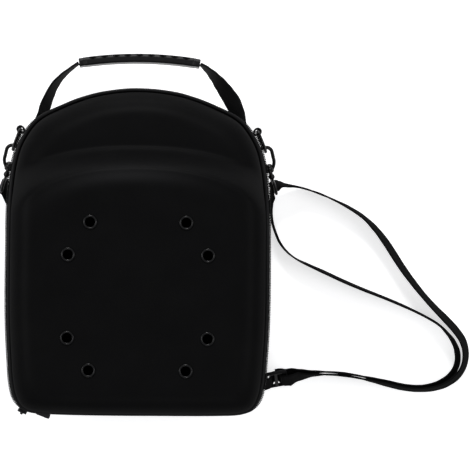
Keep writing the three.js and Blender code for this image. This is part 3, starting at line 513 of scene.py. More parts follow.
@dataclass(frozen=True)
class Num:
    """A number that a material's nodes work out at each point."""

    tree: bpy.types.NodeTree
    socket: bpy.types.NodeSocket

    def made(self, operation: str, *values: "Num | float", clamp: bool = False) -> "Num":
        """The result of one Math node on the values."""
        node = self.tree.nodes.new("ShaderNodeMath")
        node.operation = operation
        node.use_clamp = clamp
        for slot, value in zip(node.inputs, values):
            if isinstance(value, Num):
                self.tree.links.new(value.socket, slot)
            else:
                slot.default_value = value
        return Num(self.tree, node.outputs[0])

    __add__, __radd__ = sign("ADD"), sign("ADD", True)
    __sub__, __rsub__ = sign("SUBTRACT"), sign("SUBTRACT", True)
    __mul__, __truediv__ = sign("MULTIPLY"), sign("DIVIDE")
    __pow__, __rpow__ = sign("POWER"), sign("POWER", True)

    def __neg__(self) -> "Num":
        """The number with its sign turned."""
        return self.made("MULTIPLY", self, -1.0)

    def sine(self) -> "Num":
        """Sine of an angle in radians."""
        return self.made("SINE", self)

    def size(self) -> "Num":
        """The number without its sign."""
        return self.made("ABSOLUTE", self)

    def held(self) -> "Num":
        """The number held between 0 and 1."""
        return self.made("ADD", self, 0.0, clamp=True)

    def zigzag(self, pitch: float) -> "Num":
        """A line that goes from 0 to half the pitch and back, once in each pitch."""
        return self.made("PINGPONG", self, pitch / 2)


Value = Any
Color = tuple[float, float, float]


class Skin:
    """A material's nodes round one Principled shader."""

    def __init__(self, name: str, constants: dict[str, Value]) -> None:
        """Makes the material.

        Args:
            name: The material's name.
            constants: Values that are the same all over it, by the shader's socket names.
        """
        self.material = bpy.data.materials.new(name)
        self.material.use_nodes = True
        self.tree = self.material.node_tree
        self.tree.nodes.clear()
        self.shader = self.node("ShaderNodeBsdfPrincipled", inputs=constants)
        self.node("ShaderNodeOutputMaterial", inputs={"Surface": self.shader.outputs["BSDF"]})

    def node(self, kind: str, settings: dict[str, Value] | None = None,
             inputs: dict[str | int, Value] | None = None) -> bpy.types.Node:
        """Adds a node.

        Args:
            kind: The node's type.
            settings: Its properties, set before its sockets.
            inputs: A plain value, a number or a socket to link, by socket name or place.

        Returns:
            The node.
        """
        node = self.tree.nodes.new(kind)
        for name, value in (settings or {}).items():
            setattr(node, name, value)
        for key, value in (inputs or {}).items():
            self.feed(node.inputs[key], value)
        return node

    def feed(self, socket: bpy.types.NodeSocket, value: Value) -> None:
        """Links a number or socket to a socket, or sets its plain value."""
        if isinstance(value, Num):
            self.tree.links.new(value.socket, socket)
        elif isinstance(value, bpy.types.NodeSocket):
            self.tree.links.new(value, socket)
        elif isinstance(value, tuple) and len(value) == 3 and socket.type == "RGBA":
            socket.default_value = (*value, 1.0)
        else:
            socket.default_value = value

    def split(self, vector: bpy.types.NodeSocket) -> tuple[Num, Num, Num]:
        """The three numbers of a vector."""
        parts = self.node("ShaderNodeSeparateXYZ", inputs={0: vector})
        return tuple(Num(self.tree, socket) for socket in parts.outputs)

    def place(self) -> bpy.types.NodeSocket:
        """Object coordinates, in metres."""
        return self.node("ShaderNodeTexCoord").outputs["Object"]

    def run(self) -> bpy.types.NodeSocket:
        """The piece's own lengths along and across, in metres."""
        return self.node("ShaderNodeUVMap", {"uv_map": "lengths"}).outputs["UV"]

    def noise(self, grain: float, detail: float = 2.0, rough: float = 0.5) -> Num:
        """Noise from 0 to 1, with features about one grain across in metres."""
        node = self.node("ShaderNodeTexNoise", inputs={
            "Vector": self.place(), "Scale": 1.0 / grain, "Detail": detail, "Roughness": rough})
        return Num(self.tree, node.outputs["Fac"])

    def mix(self, share: Num, low: Color | bpy.types.NodeSocket,
            high: Color | bpy.types.NodeSocket) -> bpy.types.NodeSocket:
        """A colour between two colours."""
        return self.node("ShaderNodeMix", {"data_type": "RGBA"},
                         {0: share, 6: low, 7: high}).outputs[2]

    def bump(self, height: Num, depth: float) -> bpy.types.NodeSocket:
        """The surface's normal with a relief whose height of 1 is a depth in metres."""
        return self.node("ShaderNodeBump", inputs={
            "Height": height, "Strength": 1.0, "Distance": depth}).outputs["Normal"]

    def wear(self, socket: str, value: Value) -> None:
        """Feeds one of the shader's sockets."""
        self.feed(self.shader.inputs[socket], value)


@dataclass(frozen=True)
class Cloth:
    """Woven cloth or webbing.

    Attributes:
        name: The finish's name.
        weave: How it is woven.
        dark: Colour in the grooves.
        light: Colour on the threads.
        pitch: Distance between threads, in metres.
        depth: Height of the threads, in metres.
        roughness: Roughness of the threads.
        sheen: Amount of soft sheen from stray fibres.
        specular: Strength of the plain gloss, which lies on the threads as a thin even coat.
        chevron: Width of one chevron across a ribbed or herringbone cloth, in metres.
    """

    name: str
    weave: Weave
    dark: Color
    light: Color
    pitch: float
    depth: float
    roughness: float
    sheen: float
    specular: float = 0.35
    chevron: float = 0.006

    def threads(self, skin: Skin) -> Num:
        """Height of the threads from 0 to 1.

        A plain weave is the sine along times the sine across. Ribs are the sine of the length
        along, and in a herringbone that length is moved by a zigzag of the length across.
        """
        along, across, _ = skin.split(skin.run())
        turn = 2 * math.pi / self.pitch
        if self.weave is Weave.PLAIN:
            return (along * turn).sine() * (across * turn).sine() * 0.5 + 0.5
        slant = 0.16 if self.weave is Weave.RIBBED else 0.5
        zigzag = across.zigzag(self.chevron) * (turn * slant)
        fibres = (across * (turn * 1.7)).sine() * 0.18
        return (along * (turn / 2) + zigzag).sine().size() + fibres

    def material(self) -> bpy.types.Material:
        """Threads raise the surface and lighten it, over slow patches of rubbed cloth."""
        skin = Skin(self.name, {"Sheen Weight": self.sheen, "Sheen Roughness": 0.45,
                                "Specular IOR Level": 0.0, "Coat Weight": 2 * self.specular,
                                "Coat Roughness": self.roughness})
        threads = self.threads(skin)
        lint = skin.noise(0.0009, 3.0, 0.7)
        rubbed = skin.noise(0.035, 3.0, 0.55)
        share = (threads * 0.45 + lint * 0.5 + (rubbed - 0.5) * 0.5).held()
        # Ridged shell cloth paints a highlight along the crown's crest into the base colour here.
        skin.wear("Base Color", self.crested(skin, skin.mix(share, self.dark, self.light)))
        skin.wear("Roughness", (self.roughness + (rubbed - 0.5) * 0.12 + (lint - 0.5) * 0.1).held())
        skin.wear("Normal", skin.bump(threads + (lint - 0.5) * 0.6, self.depth))
        return skin.material

    def crested(self, skin: Skin, color: bpy.types.NodeSocket) -> bpy.types.NodeSocket:
        """The cloth's colour with a painted highlight along a crest; plain cloth leaves the colour
        as it is.
        """
        return color


@dataclass(frozen=True)
class RidgedCloth(Cloth):
    """Shell cloth with a paler band along the crest of the crown's arch.

    The band stands in for a part of the soft highlight that lies there.

    Attributes:
        center: Foot of the arch, across and along, in metres.
        half_width: Half width of the arch, in metres.
        height: Height of the arch, in metres.
        power: Power of the arch's curve.
        crest: Where the band of painted highlight runs, as a share of the arch.
        spread: How wide the band is, as a share of the arch.
        middle: Where across the band is palest, in metres.
        fade: Distance over which it fades sideways, in metres.
        pale: Colour of the painted highlight in the middle of the band.
    """

    center: tuple[float, float] = (-0.0004, -0.0208)
    half_width: float = 0.124
    height: float = 0.08
    power: float = 2.3
    crest: float = 0.95
    spread: float = 0.075
    middle: float = -0.012
    fade: float = 0.055
    pale: Color = (0.0125, 0.0125, 0.0129)

    def crested(self, skin: Skin, color: bpy.types.NodeSocket) -> bpy.types.NodeSocket:
        """A painted highlight: paler near the crest.

        The reach is the power mean of both distances as shares of the arch. The band is a bell
        curve of the reach, times a bell curve of the place across.
        """
        x, y, _ = skin.split(skin.place())
        across = ((x - self.center[0]) / self.half_width).size() ** self.power
        along = y.made("MAXIMUM", (y - self.center[1]) / self.height, 0.0)
        reach = (across + along ** self.power) ** (1 / self.power)
        off, side = (reach - self.crest) / self.spread, (x - self.middle) / self.fade
        # Mixes the painted highlight into the cloth's colour.
        return skin.mix(math.e ** -(off * off + side * side), color, self.pale)


@dataclass(frozen=True)
class Enamel:
    """Glossy enamel on metal, with fine scuffs.

    Attributes:
        name: The finish's name.
        color: Colour of the enamel.
        worn: Colour where it is rubbed.
        roughness: Roughness of the clean enamel.
        metallic: How much of the metal shows through the thin black.
        coat: Strength of the clear gloss on top.
        coat_roughness: Roughness of that gloss.
        specular: Strength of the enamel's own gloss.
    """

    name: str
    color: Color = (0.003, 0.003, 0.0032)
    worn: Color = (0.018, 0.018, 0.0185)
    roughness: float = 0.3
    metallic: float = 0.05
    coat: float = 0.2
    coat_roughness: float = 0.14
    specular: float = 0.15

    def material(self) -> bpy.types.Material:
        """Fine scuffs show only in slow patches, over a slightly uneven skin of enamel."""
        skin = Skin(self.name, {"Metallic": self.metallic, "Coat Weight": self.coat,
                                "Coat Roughness": self.coat_roughness,
                                "Specular IOR Level": self.specular})
        peel = skin.noise(0.0016, 2.0)
        scuffs = skin.noise(0.0007, 4.0, 0.75)
        patches = skin.noise(0.009, 3.0, 0.6)
        rubbed = ((scuffs - 0.58) * 6.0).held() * ((patches - 0.5) * 5.0).held()
        skin.wear("Base Color", skin.mix(rubbed, self.color, self.worn))
        skin.wear("Roughness", (self.roughness + rubbed * 0.25 + (patches - 0.5) * 0.08).held())
        skin.wear("Normal", skin.bump(peel + scuffs * 0.2, 0.00003))
        return skin.material


@dataclass(frozen=True)
class Moulded:
    """Moulded plastic or rubber with a fine grain.

    Attributes:
        name: The finish's name.
        color: Colour of the plastic.
        worn: Colour where hands have polished or scuffed it.
        roughness: Roughness of the grain.
        grain: Size of the grain, in metres.
        depth: Height of the grain, in metres.
        specular: Strength of the gloss.
    """

    name: str
    color: Color
    worn: Color
    roughness: float
    grain: float = 0.0006
    depth: float = 0.00004
    specular: float = 0.5

    def material(self) -> bpy.types.Material:
        """A fine grain, with slow patches that are smoother and a little lighter."""
        skin = Skin(self.name, {"Specular IOR Level": self.specular})
        grain = skin.noise(self.grain, 3.0, 0.6)
        patches = skin.noise(0.014, 3.0, 0.6)
        rubbed = ((patches - 0.45) * 3.0).held() * (grain * 0.7 + 0.3)
        skin.wear("Base Color", skin.mix(rubbed, self.color, self.worn))
        skin.wear("Roughness", (self.roughness + (0.5 - patches) * 0.14 + (grain - 0.5) * 0.1)
                  .held())
        skin.wear("Normal", skin.bump(grain, self.depth))
        return skin.material


Finish = Cloth | Enamel | Moulded

SHELL_CLOTH = RidgedCloth("shell_cloth", Weave.PLAIN, (0.0023, 0.0023, 0.0024),
                          (0.0058, 0.0058, 0.006), 0.0009, 0.00005, 0.42, 0.0, 0.022)
STRAP_WEB = Cloth("strap_webbing", Weave.HERRINGBONE, (0.001, 0.001, 0.0011),
                  (0.006, 0.006, 0.0062), 0.0022, 0.00022, 0.6, 0.0, 0.03, 0.0068)
HANDLE_WEB = Cloth("handle_webbing", Weave.HERRINGBONE, (0.0022, 0.0022, 0.0024),
                   (0.008, 0.008, 0.0085), 0.0022, 0.00024, 0.62, 0.01, 0.14, 0.0072)
TAPE = Cloth("zip_tape", Weave.HERRINGBONE, (0.0015, 0.0015, 0.0016), (0.0045, 0.0045, 0.0047),
             0.0009, 0.00008, 0.65, 0.0, 0.04, 0.0022)
PIPING = Cloth("rim_piping", Weave.RIBBED, (0.006, 0.006, 0.0062), (0.017, 0.017, 0.0175),
               0.0012, 0.00006, 0.35, 0.0, 0.05, 0.0016)
HINGE_CLOTH = Cloth("hinge_cloth", Weave.RIBBED, (0.0025, 0.0025, 0.0027), (0.009, 0.009, 0.0095),
                    0.0014, 0.00012, 0.7, 0.01, 0.14, 0.003)
TAB_CLOTH = Cloth("end_tab_cloth", Weave.RIBBED, (0.014, 0.014, 0.0145), (0.042, 0.042, 0.043),
                  0.0012, 0.0001, 0.6, 0.0, 0.05, 0.003)
ENAMEL = Enamel("black_enamel")
GRIP_RUBBER = Moulded("grip_rubber", (0.004, 0.004, 0.0043), (0.011, 0.011, 0.0115), 0.4,
                      specular=0.2)
BUCKLE_PLASTIC = Moulded("buckle_plastic", (0.004, 0.004, 0.0043), (0.011, 0.011, 0.0115), 0.5,
                         specular=0.06)
COIL = Moulded("zip_coil", (0.003, 0.003, 0.0032), (0.008, 0.008, 0.0085), 0.5, 0.0004, 0.00002,
               0.03)


class Bench:
    """Makes pieces from surfaces, dresses them and puts them on their bodies."""

    def __init__(self) -> None:
        """Starts with no materials made."""
        self.materials: dict[str, bpy.types.Material] = {}

    def finish(self, finish: Finish) -> bpy.types.Material:
        """The material of a finish, made once."""
        if finish.name not in self.materials:
            self.materials[finish.name] = finish.material()
        return self.materials[finish.name]

    def piece(self, name: str, surfaces: Sequence[Surface], finish: Finish, node: str = "",
              body: str = "case", crease: float = CREASE) -> bpy.types.Object:
        """Makes a mesh of surfaces and adds it as a piece.

        Args:
            name: The piece's name.
            surfaces: Its surfaces.
            finish: Its finish.
            node: The node that it replaces, unless that is its name without the last word.
            body: The body that it rides on.
            crease: See make_mesh.

        Returns:
            The piece.
        """
        mesh = make_mesh(name, surfaces, crease)
        piece = bpy.data.objects.new(name, mesh)
        bpy.context.scene.collection.objects.link(piece)
        mesh.materials.append(self.finish(finish))
        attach(piece, body)
        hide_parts(node or name.rsplit("_", 1)[0])
        log.info("%s: %d faces on %s", name, len(mesh.polygons), body)
        return piece


# ---- The case's outline and rim ----

@dataclass
class CaseOutline:
    """The outline of the case's rim and what is measured from it.

    A spoke is a sixty-fourth part of the way round, clockwise from the top. Insets pull a point
    towards the body's middle.
    """

    width: float = 250.4
    height: float = 307.4
    middle_y: float = -17.0
    steps: int = 12
    bead_sides: float = 3.9
    bead_ends: float = 1.2
    bead_radius: float = 1.6
    back_rim_inset: float = 3.6
    back_draft: float = 5.4
    back_depth: float = 61.0
    foot_radius: float = 16.0
    rim_gap: float = 10.0
    chain_height: float = 2.8
    zip_end: float = 27.6
    shares: tuple[tuple[float, float], ...] = (
        (1, 0), (0.9885, 0.2), (0.9595, 0.375), (0.9005, 0.576), (0.81, 0.787), (0.687, 0.904),
        (0.565, 0.957), (0.32, 0.993), (0, 1), (-0.41, 0.9985), (-0.663, 0.983),
        (-0.813, 0.968), (-0.908, 0.938), (-0.96, 0.883), (-0.9875, 0.783), (-0.997, 0.56),
        (-1, 0))
    line: Array = field(init=False)
    sideness: Array = field(init=False)

    def __post_init__(self) -> None:
        """Works out the fine outline: a closed curve through the shares and their mirror."""
        half = np.array(self.shares)[:, ::-1] * (self.width / 2, self.height / 2)
        mirror = (half[1:-1] * (-1, 1))[::-1]
        self.line = spline(np.vstack([half, mirror]), self.steps, closed=True)
        reach = self.steps // 2
        run = unit(np.roll(self.line, -reach, 0) - np.roll(self.line, reach, 0))
        self.sideness = run[:, 1] ** 2

    @property
    def rim_z(self) -> float:
        """Height of the front shell's rim."""
        return self.back_depth + self.rim_gap

    @property
    def chain_z(self) -> float:
        """Height of the middle of the zip."""
        return self.back_depth + GAP + self.rim_gap / 2

    @property
    def top_y(self) -> float:
        """The outline's highest place."""
        return self.middle_y + self.height / 2

    def bead(self, spokes: Array) -> Array:
        """Inset of the rim bead: its ends' value plus the rest times the squared run in Y."""
        side = self.read(self.sideness, spokes)
        return self.bead_ends + (self.bead_sides - self.bead_ends) * side

    def read(self, values: Array, spokes: Array) -> Array:
        """Values of the fine outline at places between its points."""
        at = np.arange(len(self.line)) / (self.steps / 2)
        return np.interp(np.asarray(spokes, float) % 64, at, values, period=64)

    def pulled(self, spokes: Array, inset: Array, z: Array) -> Array:
        """Points at spokes, each coordinate times one minus the inset over the half size.

        Args:
            spokes: Places round the outline.
            inset: Insets, with the spokes along the first axis.
            z: Heights, of a shape that fits the insets.

        Returns:
            Points, with x, y and z along a new last axis.
        """
        inset, z = np.broadcast_arrays(np.asarray(inset, float), np.asarray(z, float))
        fit = (-1,) + (1,) * (inset.ndim - 1)
        x = self.read(self.line[:, 0], spokes).reshape(fit)
        y = self.read(self.line[:, 1], spokes).reshape(fit)
        return np.stack([x * (1 - 2 * inset / self.width),
                         self.middle_y + y * (1 - 2 * inset / self.height), z], -1)

    def spot(self, spoke: float, inset: float, z: float) -> Array:
        """A point on the straight line between the two whole spokes that a place lies between."""
        low = math.floor(spoke)
        ends = self.pulled(np.array([low, low + 1]), np.full(2, inset), np.full(2, z))
        return ends[0] + (ends[1] - ends[0]) * (spoke - low)

    def outward(self, spoke: float) -> Array:
        """Outward direction at a spoke, square to the outline's run."""
        run = unit(self.spot(spoke + 0.4, 0, 0) - self.spot(spoke - 0.4, 0, 0))
        return np.array([-run[1], run[0], 0.0])

    def back_inset(self, skin: float, z: Array) -> Array:
        """Inset of the back shell's wall, which leans in below the rim."""
        share = (self.back_depth - np.asarray(z, float)) / (self.back_depth - self.foot_radius)
        return self.back_rim_inset + skin + self.back_draft * share

    def on_wall(self, spoke: float, z: float, off: float) -> Array:
        """A point off the back shell's wall."""
        return self.spot(spoke, float(self.back_inset(-off, z)), z)

    @property
    def wall_lean(self) -> float:
        """Lean of the back shell's wall, in degrees."""
        return math.degrees(math.atan(self.back_draft / (self.back_depth - self.foot_radius)))

    def band(self, profile: Sequence[tuple[float, float, float]], start: float, end: float,
             wave: float = 0.0, rounds: int = 2) -> Patch:
        """A closed profile carried along the outline.

        Each profile point has a fixed inset, a share of the bead's inset and a height. The whole
        inset also swings by two sines of the spoke, times the wave.

        Args:
            profile: Inset, bead share and height of each corner.
            start: First spoke.
            end: Last spoke, sixty-four on from the first for a whole ring.
            wave: Size of the swing.
            rounds: How often the profile's corners are cut.

        Returns:
            The band, closed at its ends if it is not a whole ring.
        """
        whole = end - start >= 64
        count = int((end - start) * 8) + (0 if whole else 1)
        spokes = np.linspace(start, end, count, endpoint=not whole)
        rows = rounded(np.array(profile, float), rounds)
        turn = 2 * np.pi * spokes / 64
        swing = wave * (np.sin(17 * turn) + 0.6 * np.sin(31 * turn + 1.3))
        inset = rows[None, :, 0] + rows[None, :, 1] * self.bead(spokes)[:, None] + swing[:, None]
        points = self.pulled(spokes, inset, rows[None, :, 2] + 0 * inset)
        return Patch(points, lengths(points[:, 0], whole), lengths(points[0], True),
                     rows_wrap=whole)

    def line_at(self, inset: float, bead: float, z: float, start: float, end: float) -> Array:
        """A line of points along the outline at one inset and height."""
        spokes = np.linspace(start, end, int((end - start) * 8) + 1)
        return self.pulled(spokes, inset + bead * self.bead(spokes), np.full(len(spokes), z))


@dataclass
class Shells:
    """The moulded front and back shells, with the holes of the vents."""

    outline: CaseOutline
    wall: float = 4.0
    crown: float = 99.0
    brim: float = 66.0
    brim_fall: float = 7.0
    draft: float = 3.0
    radius: float = 22.0
    arch_half_width: float = 124.0
    arch_height: float = 80.0
    arch_foot: float = -6.0
    arch_power: float = 2.3
    arch_slope: float = 0.3
    hole: float = 5.6
    columns: int = 384
    wrinkle: float = 0.16

    def reach(self, x: Array, y: Array) -> Array:
        """How far out a place is against the arch: a power mean of its shares of both sizes."""
        across = (np.abs(x) / self.arch_half_width) ** self.arch_power
        along = (np.maximum(0, y - self.arch_foot) / self.arch_height) ** self.arch_power
        return (across + along) ** (1 / self.arch_power)

    def face(self, x: Array, y: Array) -> Array:
        """Height of the face above the rim, at places measured from the body's middle.

        It is the crown's height, less the drop to the brim eased in from a reach of 1. The
        brim's height falls towards the top edge. Slow sines leave the cloth a little uneven.
        """
        fall = smooth((y - self.arch_height) / (self.outline.height / 2 - self.arch_height))
        brim = self.brim - self.brim_fall * fall
        step = smooth((self.reach(x, y) - 1) / self.arch_slope)
        uneven = self.wrinkle * (np.sin(x / 17 + 0.9 * np.sin(y / 23)) * np.sin(y / 21 + 0.6)
                                 + 0.5 * np.sin(x / 9.5 + 2) * np.sin(y / 12.5 + x / 60))
        return self.crown - (self.crown - brim) * step + uneven - self.wrinkle

    def unrolled(self, wall: Array) -> Array:
        """UVs of a wall that is folded out flat round its last row.

        A point lies outside its own end of that row, square to the row's run, as far off as the
        wall is long between the two.
        """
        edge = wall[-1]
        out = unit(np.roll(edge, 1, 0) - np.roll(edge, -1, 0))
        out = np.stack([out[:, 1], -out[:, 0]], -1)
        down = np.cumsum(np.linalg.norm(np.diff(wall[::-1], axis=0), axis=-1), 0)[::-1]
        down = np.vstack([down, np.zeros((1, self.columns))])
        return edge[None, :, :2] - out[None] * down[..., None]

    def front_rows(self, skin: float, rise_rows: int, turn_rows: int,
                   face_rows: int) -> tuple[Array, Array]:
        """Rows of points from the rim to the middle of the face.

        The wall rises straight, then turns over through a quarter circle. On the face each
        point is a share of its edge point, and its height is that of the face.

        Args:
            skin: Depth below the outer surface.
            rise_rows: Rows on the straight wall.
            turn_rows: Rows on the quarter circle.
            face_rows: Rows on the face.

        Returns:
            Points and UVs, row by row, both in millimetres.
        """
        o = self.outline
        spokes = np.linspace(0, 64, self.columns, endpoint=False)
        radius = self.radius - skin
        rise = np.concatenate([np.linspace(0, 1, rise_rows), np.ones(turn_rows)])[:, None]
        turn = np.concatenate([np.zeros(rise_rows),
                               np.linspace(0, np.pi / 2, turn_rows + 1)[1:]])[:, None]
        inset = (o.bead(spokes)[None] + o.bead_radius + GAP + skin + self.draft * rise
                 + radius * (1 - np.cos(turn)))
        wall = o.pulled(spokes, inset.T, np.zeros_like(inset.T)).transpose(1, 0, 2)
        top = self.face(wall[..., 0], wall[..., 1] - o.middle_y) - skin
        wall[..., 2] = o.rim_z + (top - radius) * rise + radius * np.sin(turn)
        edge = wall[-1]
        share = np.linspace(1, 0.015, face_rows + 1)[1:][:, None]
        x, y = edge[None, :, 0] * share, (edge[None, :, 1] - o.middle_y) * share
        face = np.stack([x, y + o.middle_y, o.rim_z + self.face(x, y) - skin], -1)
        return (np.concatenate([wall, face]),
                np.concatenate([self.unrolled(wall), face[..., :2]]))

    def back_rows(self, skin: float, wall_rows: int, turn_rows: int,
                  floor_rows: int) -> tuple[Array, Array]:
        """Rows of points from the rim down the leaning wall, round the foot and in.

        Args:
            skin: Depth below the outer surface.
            wall_rows: Rows on the wall.
            turn_rows: Rows round the foot.
            floor_rows: Rows on the flat back.

        Returns:
            Points and UVs, row by row, both in millimetres.
        """
        o = self.outline
        spokes = np.linspace(0, 64, self.columns, endpoint=False)
        radius = o.foot_radius - skin
        turn = np.linspace(0, np.pi / 2, turn_rows + 1)[1:]
        z = np.concatenate([np.linspace(o.back_depth, o.foot_radius, wall_rows),
                            o.foot_radius - radius * np.sin(turn)])
        inset = np.concatenate([o.back_inset(skin, z[:wall_rows]),
                                o.back_inset(skin, o.foot_radius) + radius * (1 - np.cos(turn))])
        wall = o.pulled(spokes, np.repeat(inset[None], self.columns, 0), z[None]
                        + np.zeros((self.columns, 1))).transpose(1, 0, 2)
        edge = wall[-1]
        share = np.linspace(1, 0.02, floor_rows + 1)[1:][:, None, None]
        middle = np.array([0, o.middle_y, 0])
        floor = middle + (edge[None] - middle) * share
        floor[..., 2] = edge[0, 2]
        return (np.concatenate([wall, floor]),
                np.concatenate([self.unrolled(wall), floor[..., :2]]))

    def shell(self, outer: tuple[Array, Array], inner: tuple[Array, Array]) -> Patch:
        """Joins an outer and an inner surface at the rim, closed at both middles."""
        points = np.concatenate([outer[0][::-1], inner[0]])
        return Patch(points, uv=np.concatenate([outer[1][::-1], inner[1]]))

    def build(self, bench: Bench, vents: "Vents") -> None:
        """Makes both shells, and cuts the vents' holes through the front one."""
        front = self.shell(self.front_rows(0, 12, 16, 66), self.front_rows(self.wall, 6, 8, 26))
        shell = bench.piece("front_shell_skin", [front], SHELL_CLOTH, crease=SOFT_CREASE)
        self.pierce(shell, vents)
        back = self.shell(self.back_rows(0, 14, 12, 10), self.back_rows(self.wall, 8, 6, 6))
        bench.piece("back_shell_skin", [back], SHELL_CLOTH, crease=SOFT_CREASE)

    def pierce(self, shell: bpy.types.Object, vents: "Vents") -> None:
        """Cuts one round hole for each vent, by taking away cylinders."""
        heights = np.array([[-12.0, self.hole], [8.0, self.hole]])
        pins = [lathe(heights, UPRIGHT, place, sides=48) for place in vents.places()]
        cutter = bpy.data.objects.new("vent_pins", make_mesh("vent_pins", pins))
        bpy.context.scene.collection.objects.link(cutter)
        modifier = shell.modifiers.new("vents", "BOOLEAN")
        modifier.operation = "DIFFERENCE"
        modifier.solver = "EXACT"
        modifier.object = cutter
        graph = bpy.context.evaluated_depsgraph_get()
        pierced = bpy.data.meshes.new_from_object(shell.evaluated_get(graph))
        shell.modifiers.remove(modifier)
        old, cut = shell.data, cutter.data
        shell.data = pierced
        bpy.data.objects.remove(cutter)
        bpy.data.meshes.remove(old)
        bpy.data.meshes.remove(cut)
        pierced.name = "front_shell_skin"
        pierced.set_sharp_from_angle(angle=math.radians(SOFT_CREASE))
        log.info("front shell pierced: %d faces", len(pierced.polygons))


@dataclass
class Vents:
    """The enamelled eyelets in the crown."""

    outline: CaseOutline
    face_z: float = 170.0
    bore: float = 4.4
    barrel: float = 5.3
    flange: float = 6.5
    dome: float = 1.1
    depth: float = 4.0
    pairs: tuple[tuple[float, float], ...] = ((43.5, 27), (63.3, -2.5), (63.5, -77.8), (44, -107))

    def places(self) -> list[Array]:
        """The middles of the vents on the face, left and right of each pair."""
        return [np.array([side * half, self.outline.middle_y + y, self.face_z])
                for half, y in self.pairs for side in (-1, 1)]

    def build(self, bench: Bench) -> None:
        """Turns each eyelet: a barrel through the shell under a rolled flange."""
        middle, half = (self.flange + self.bore) / 2, (self.flange - self.bore) / 2
        roll = arc(0, 0, 1, 0, 180, 14) * (half, self.dome) + (middle, GAP)
        profile = np.vstack([[-self.depth, self.barrel], [GAP - 0.02, self.barrel],
                             roll[:, ::-1], [-self.depth, self.bore]])
        for number, place in enumerate(self.places(), 1):
            ring = lathe(profile, UPRIGHT, place, closed=True, sides=56)
            bench.piece(f"vent_eyelet_{number}", [ring], ENAMEL, f"eyelet_{number}")


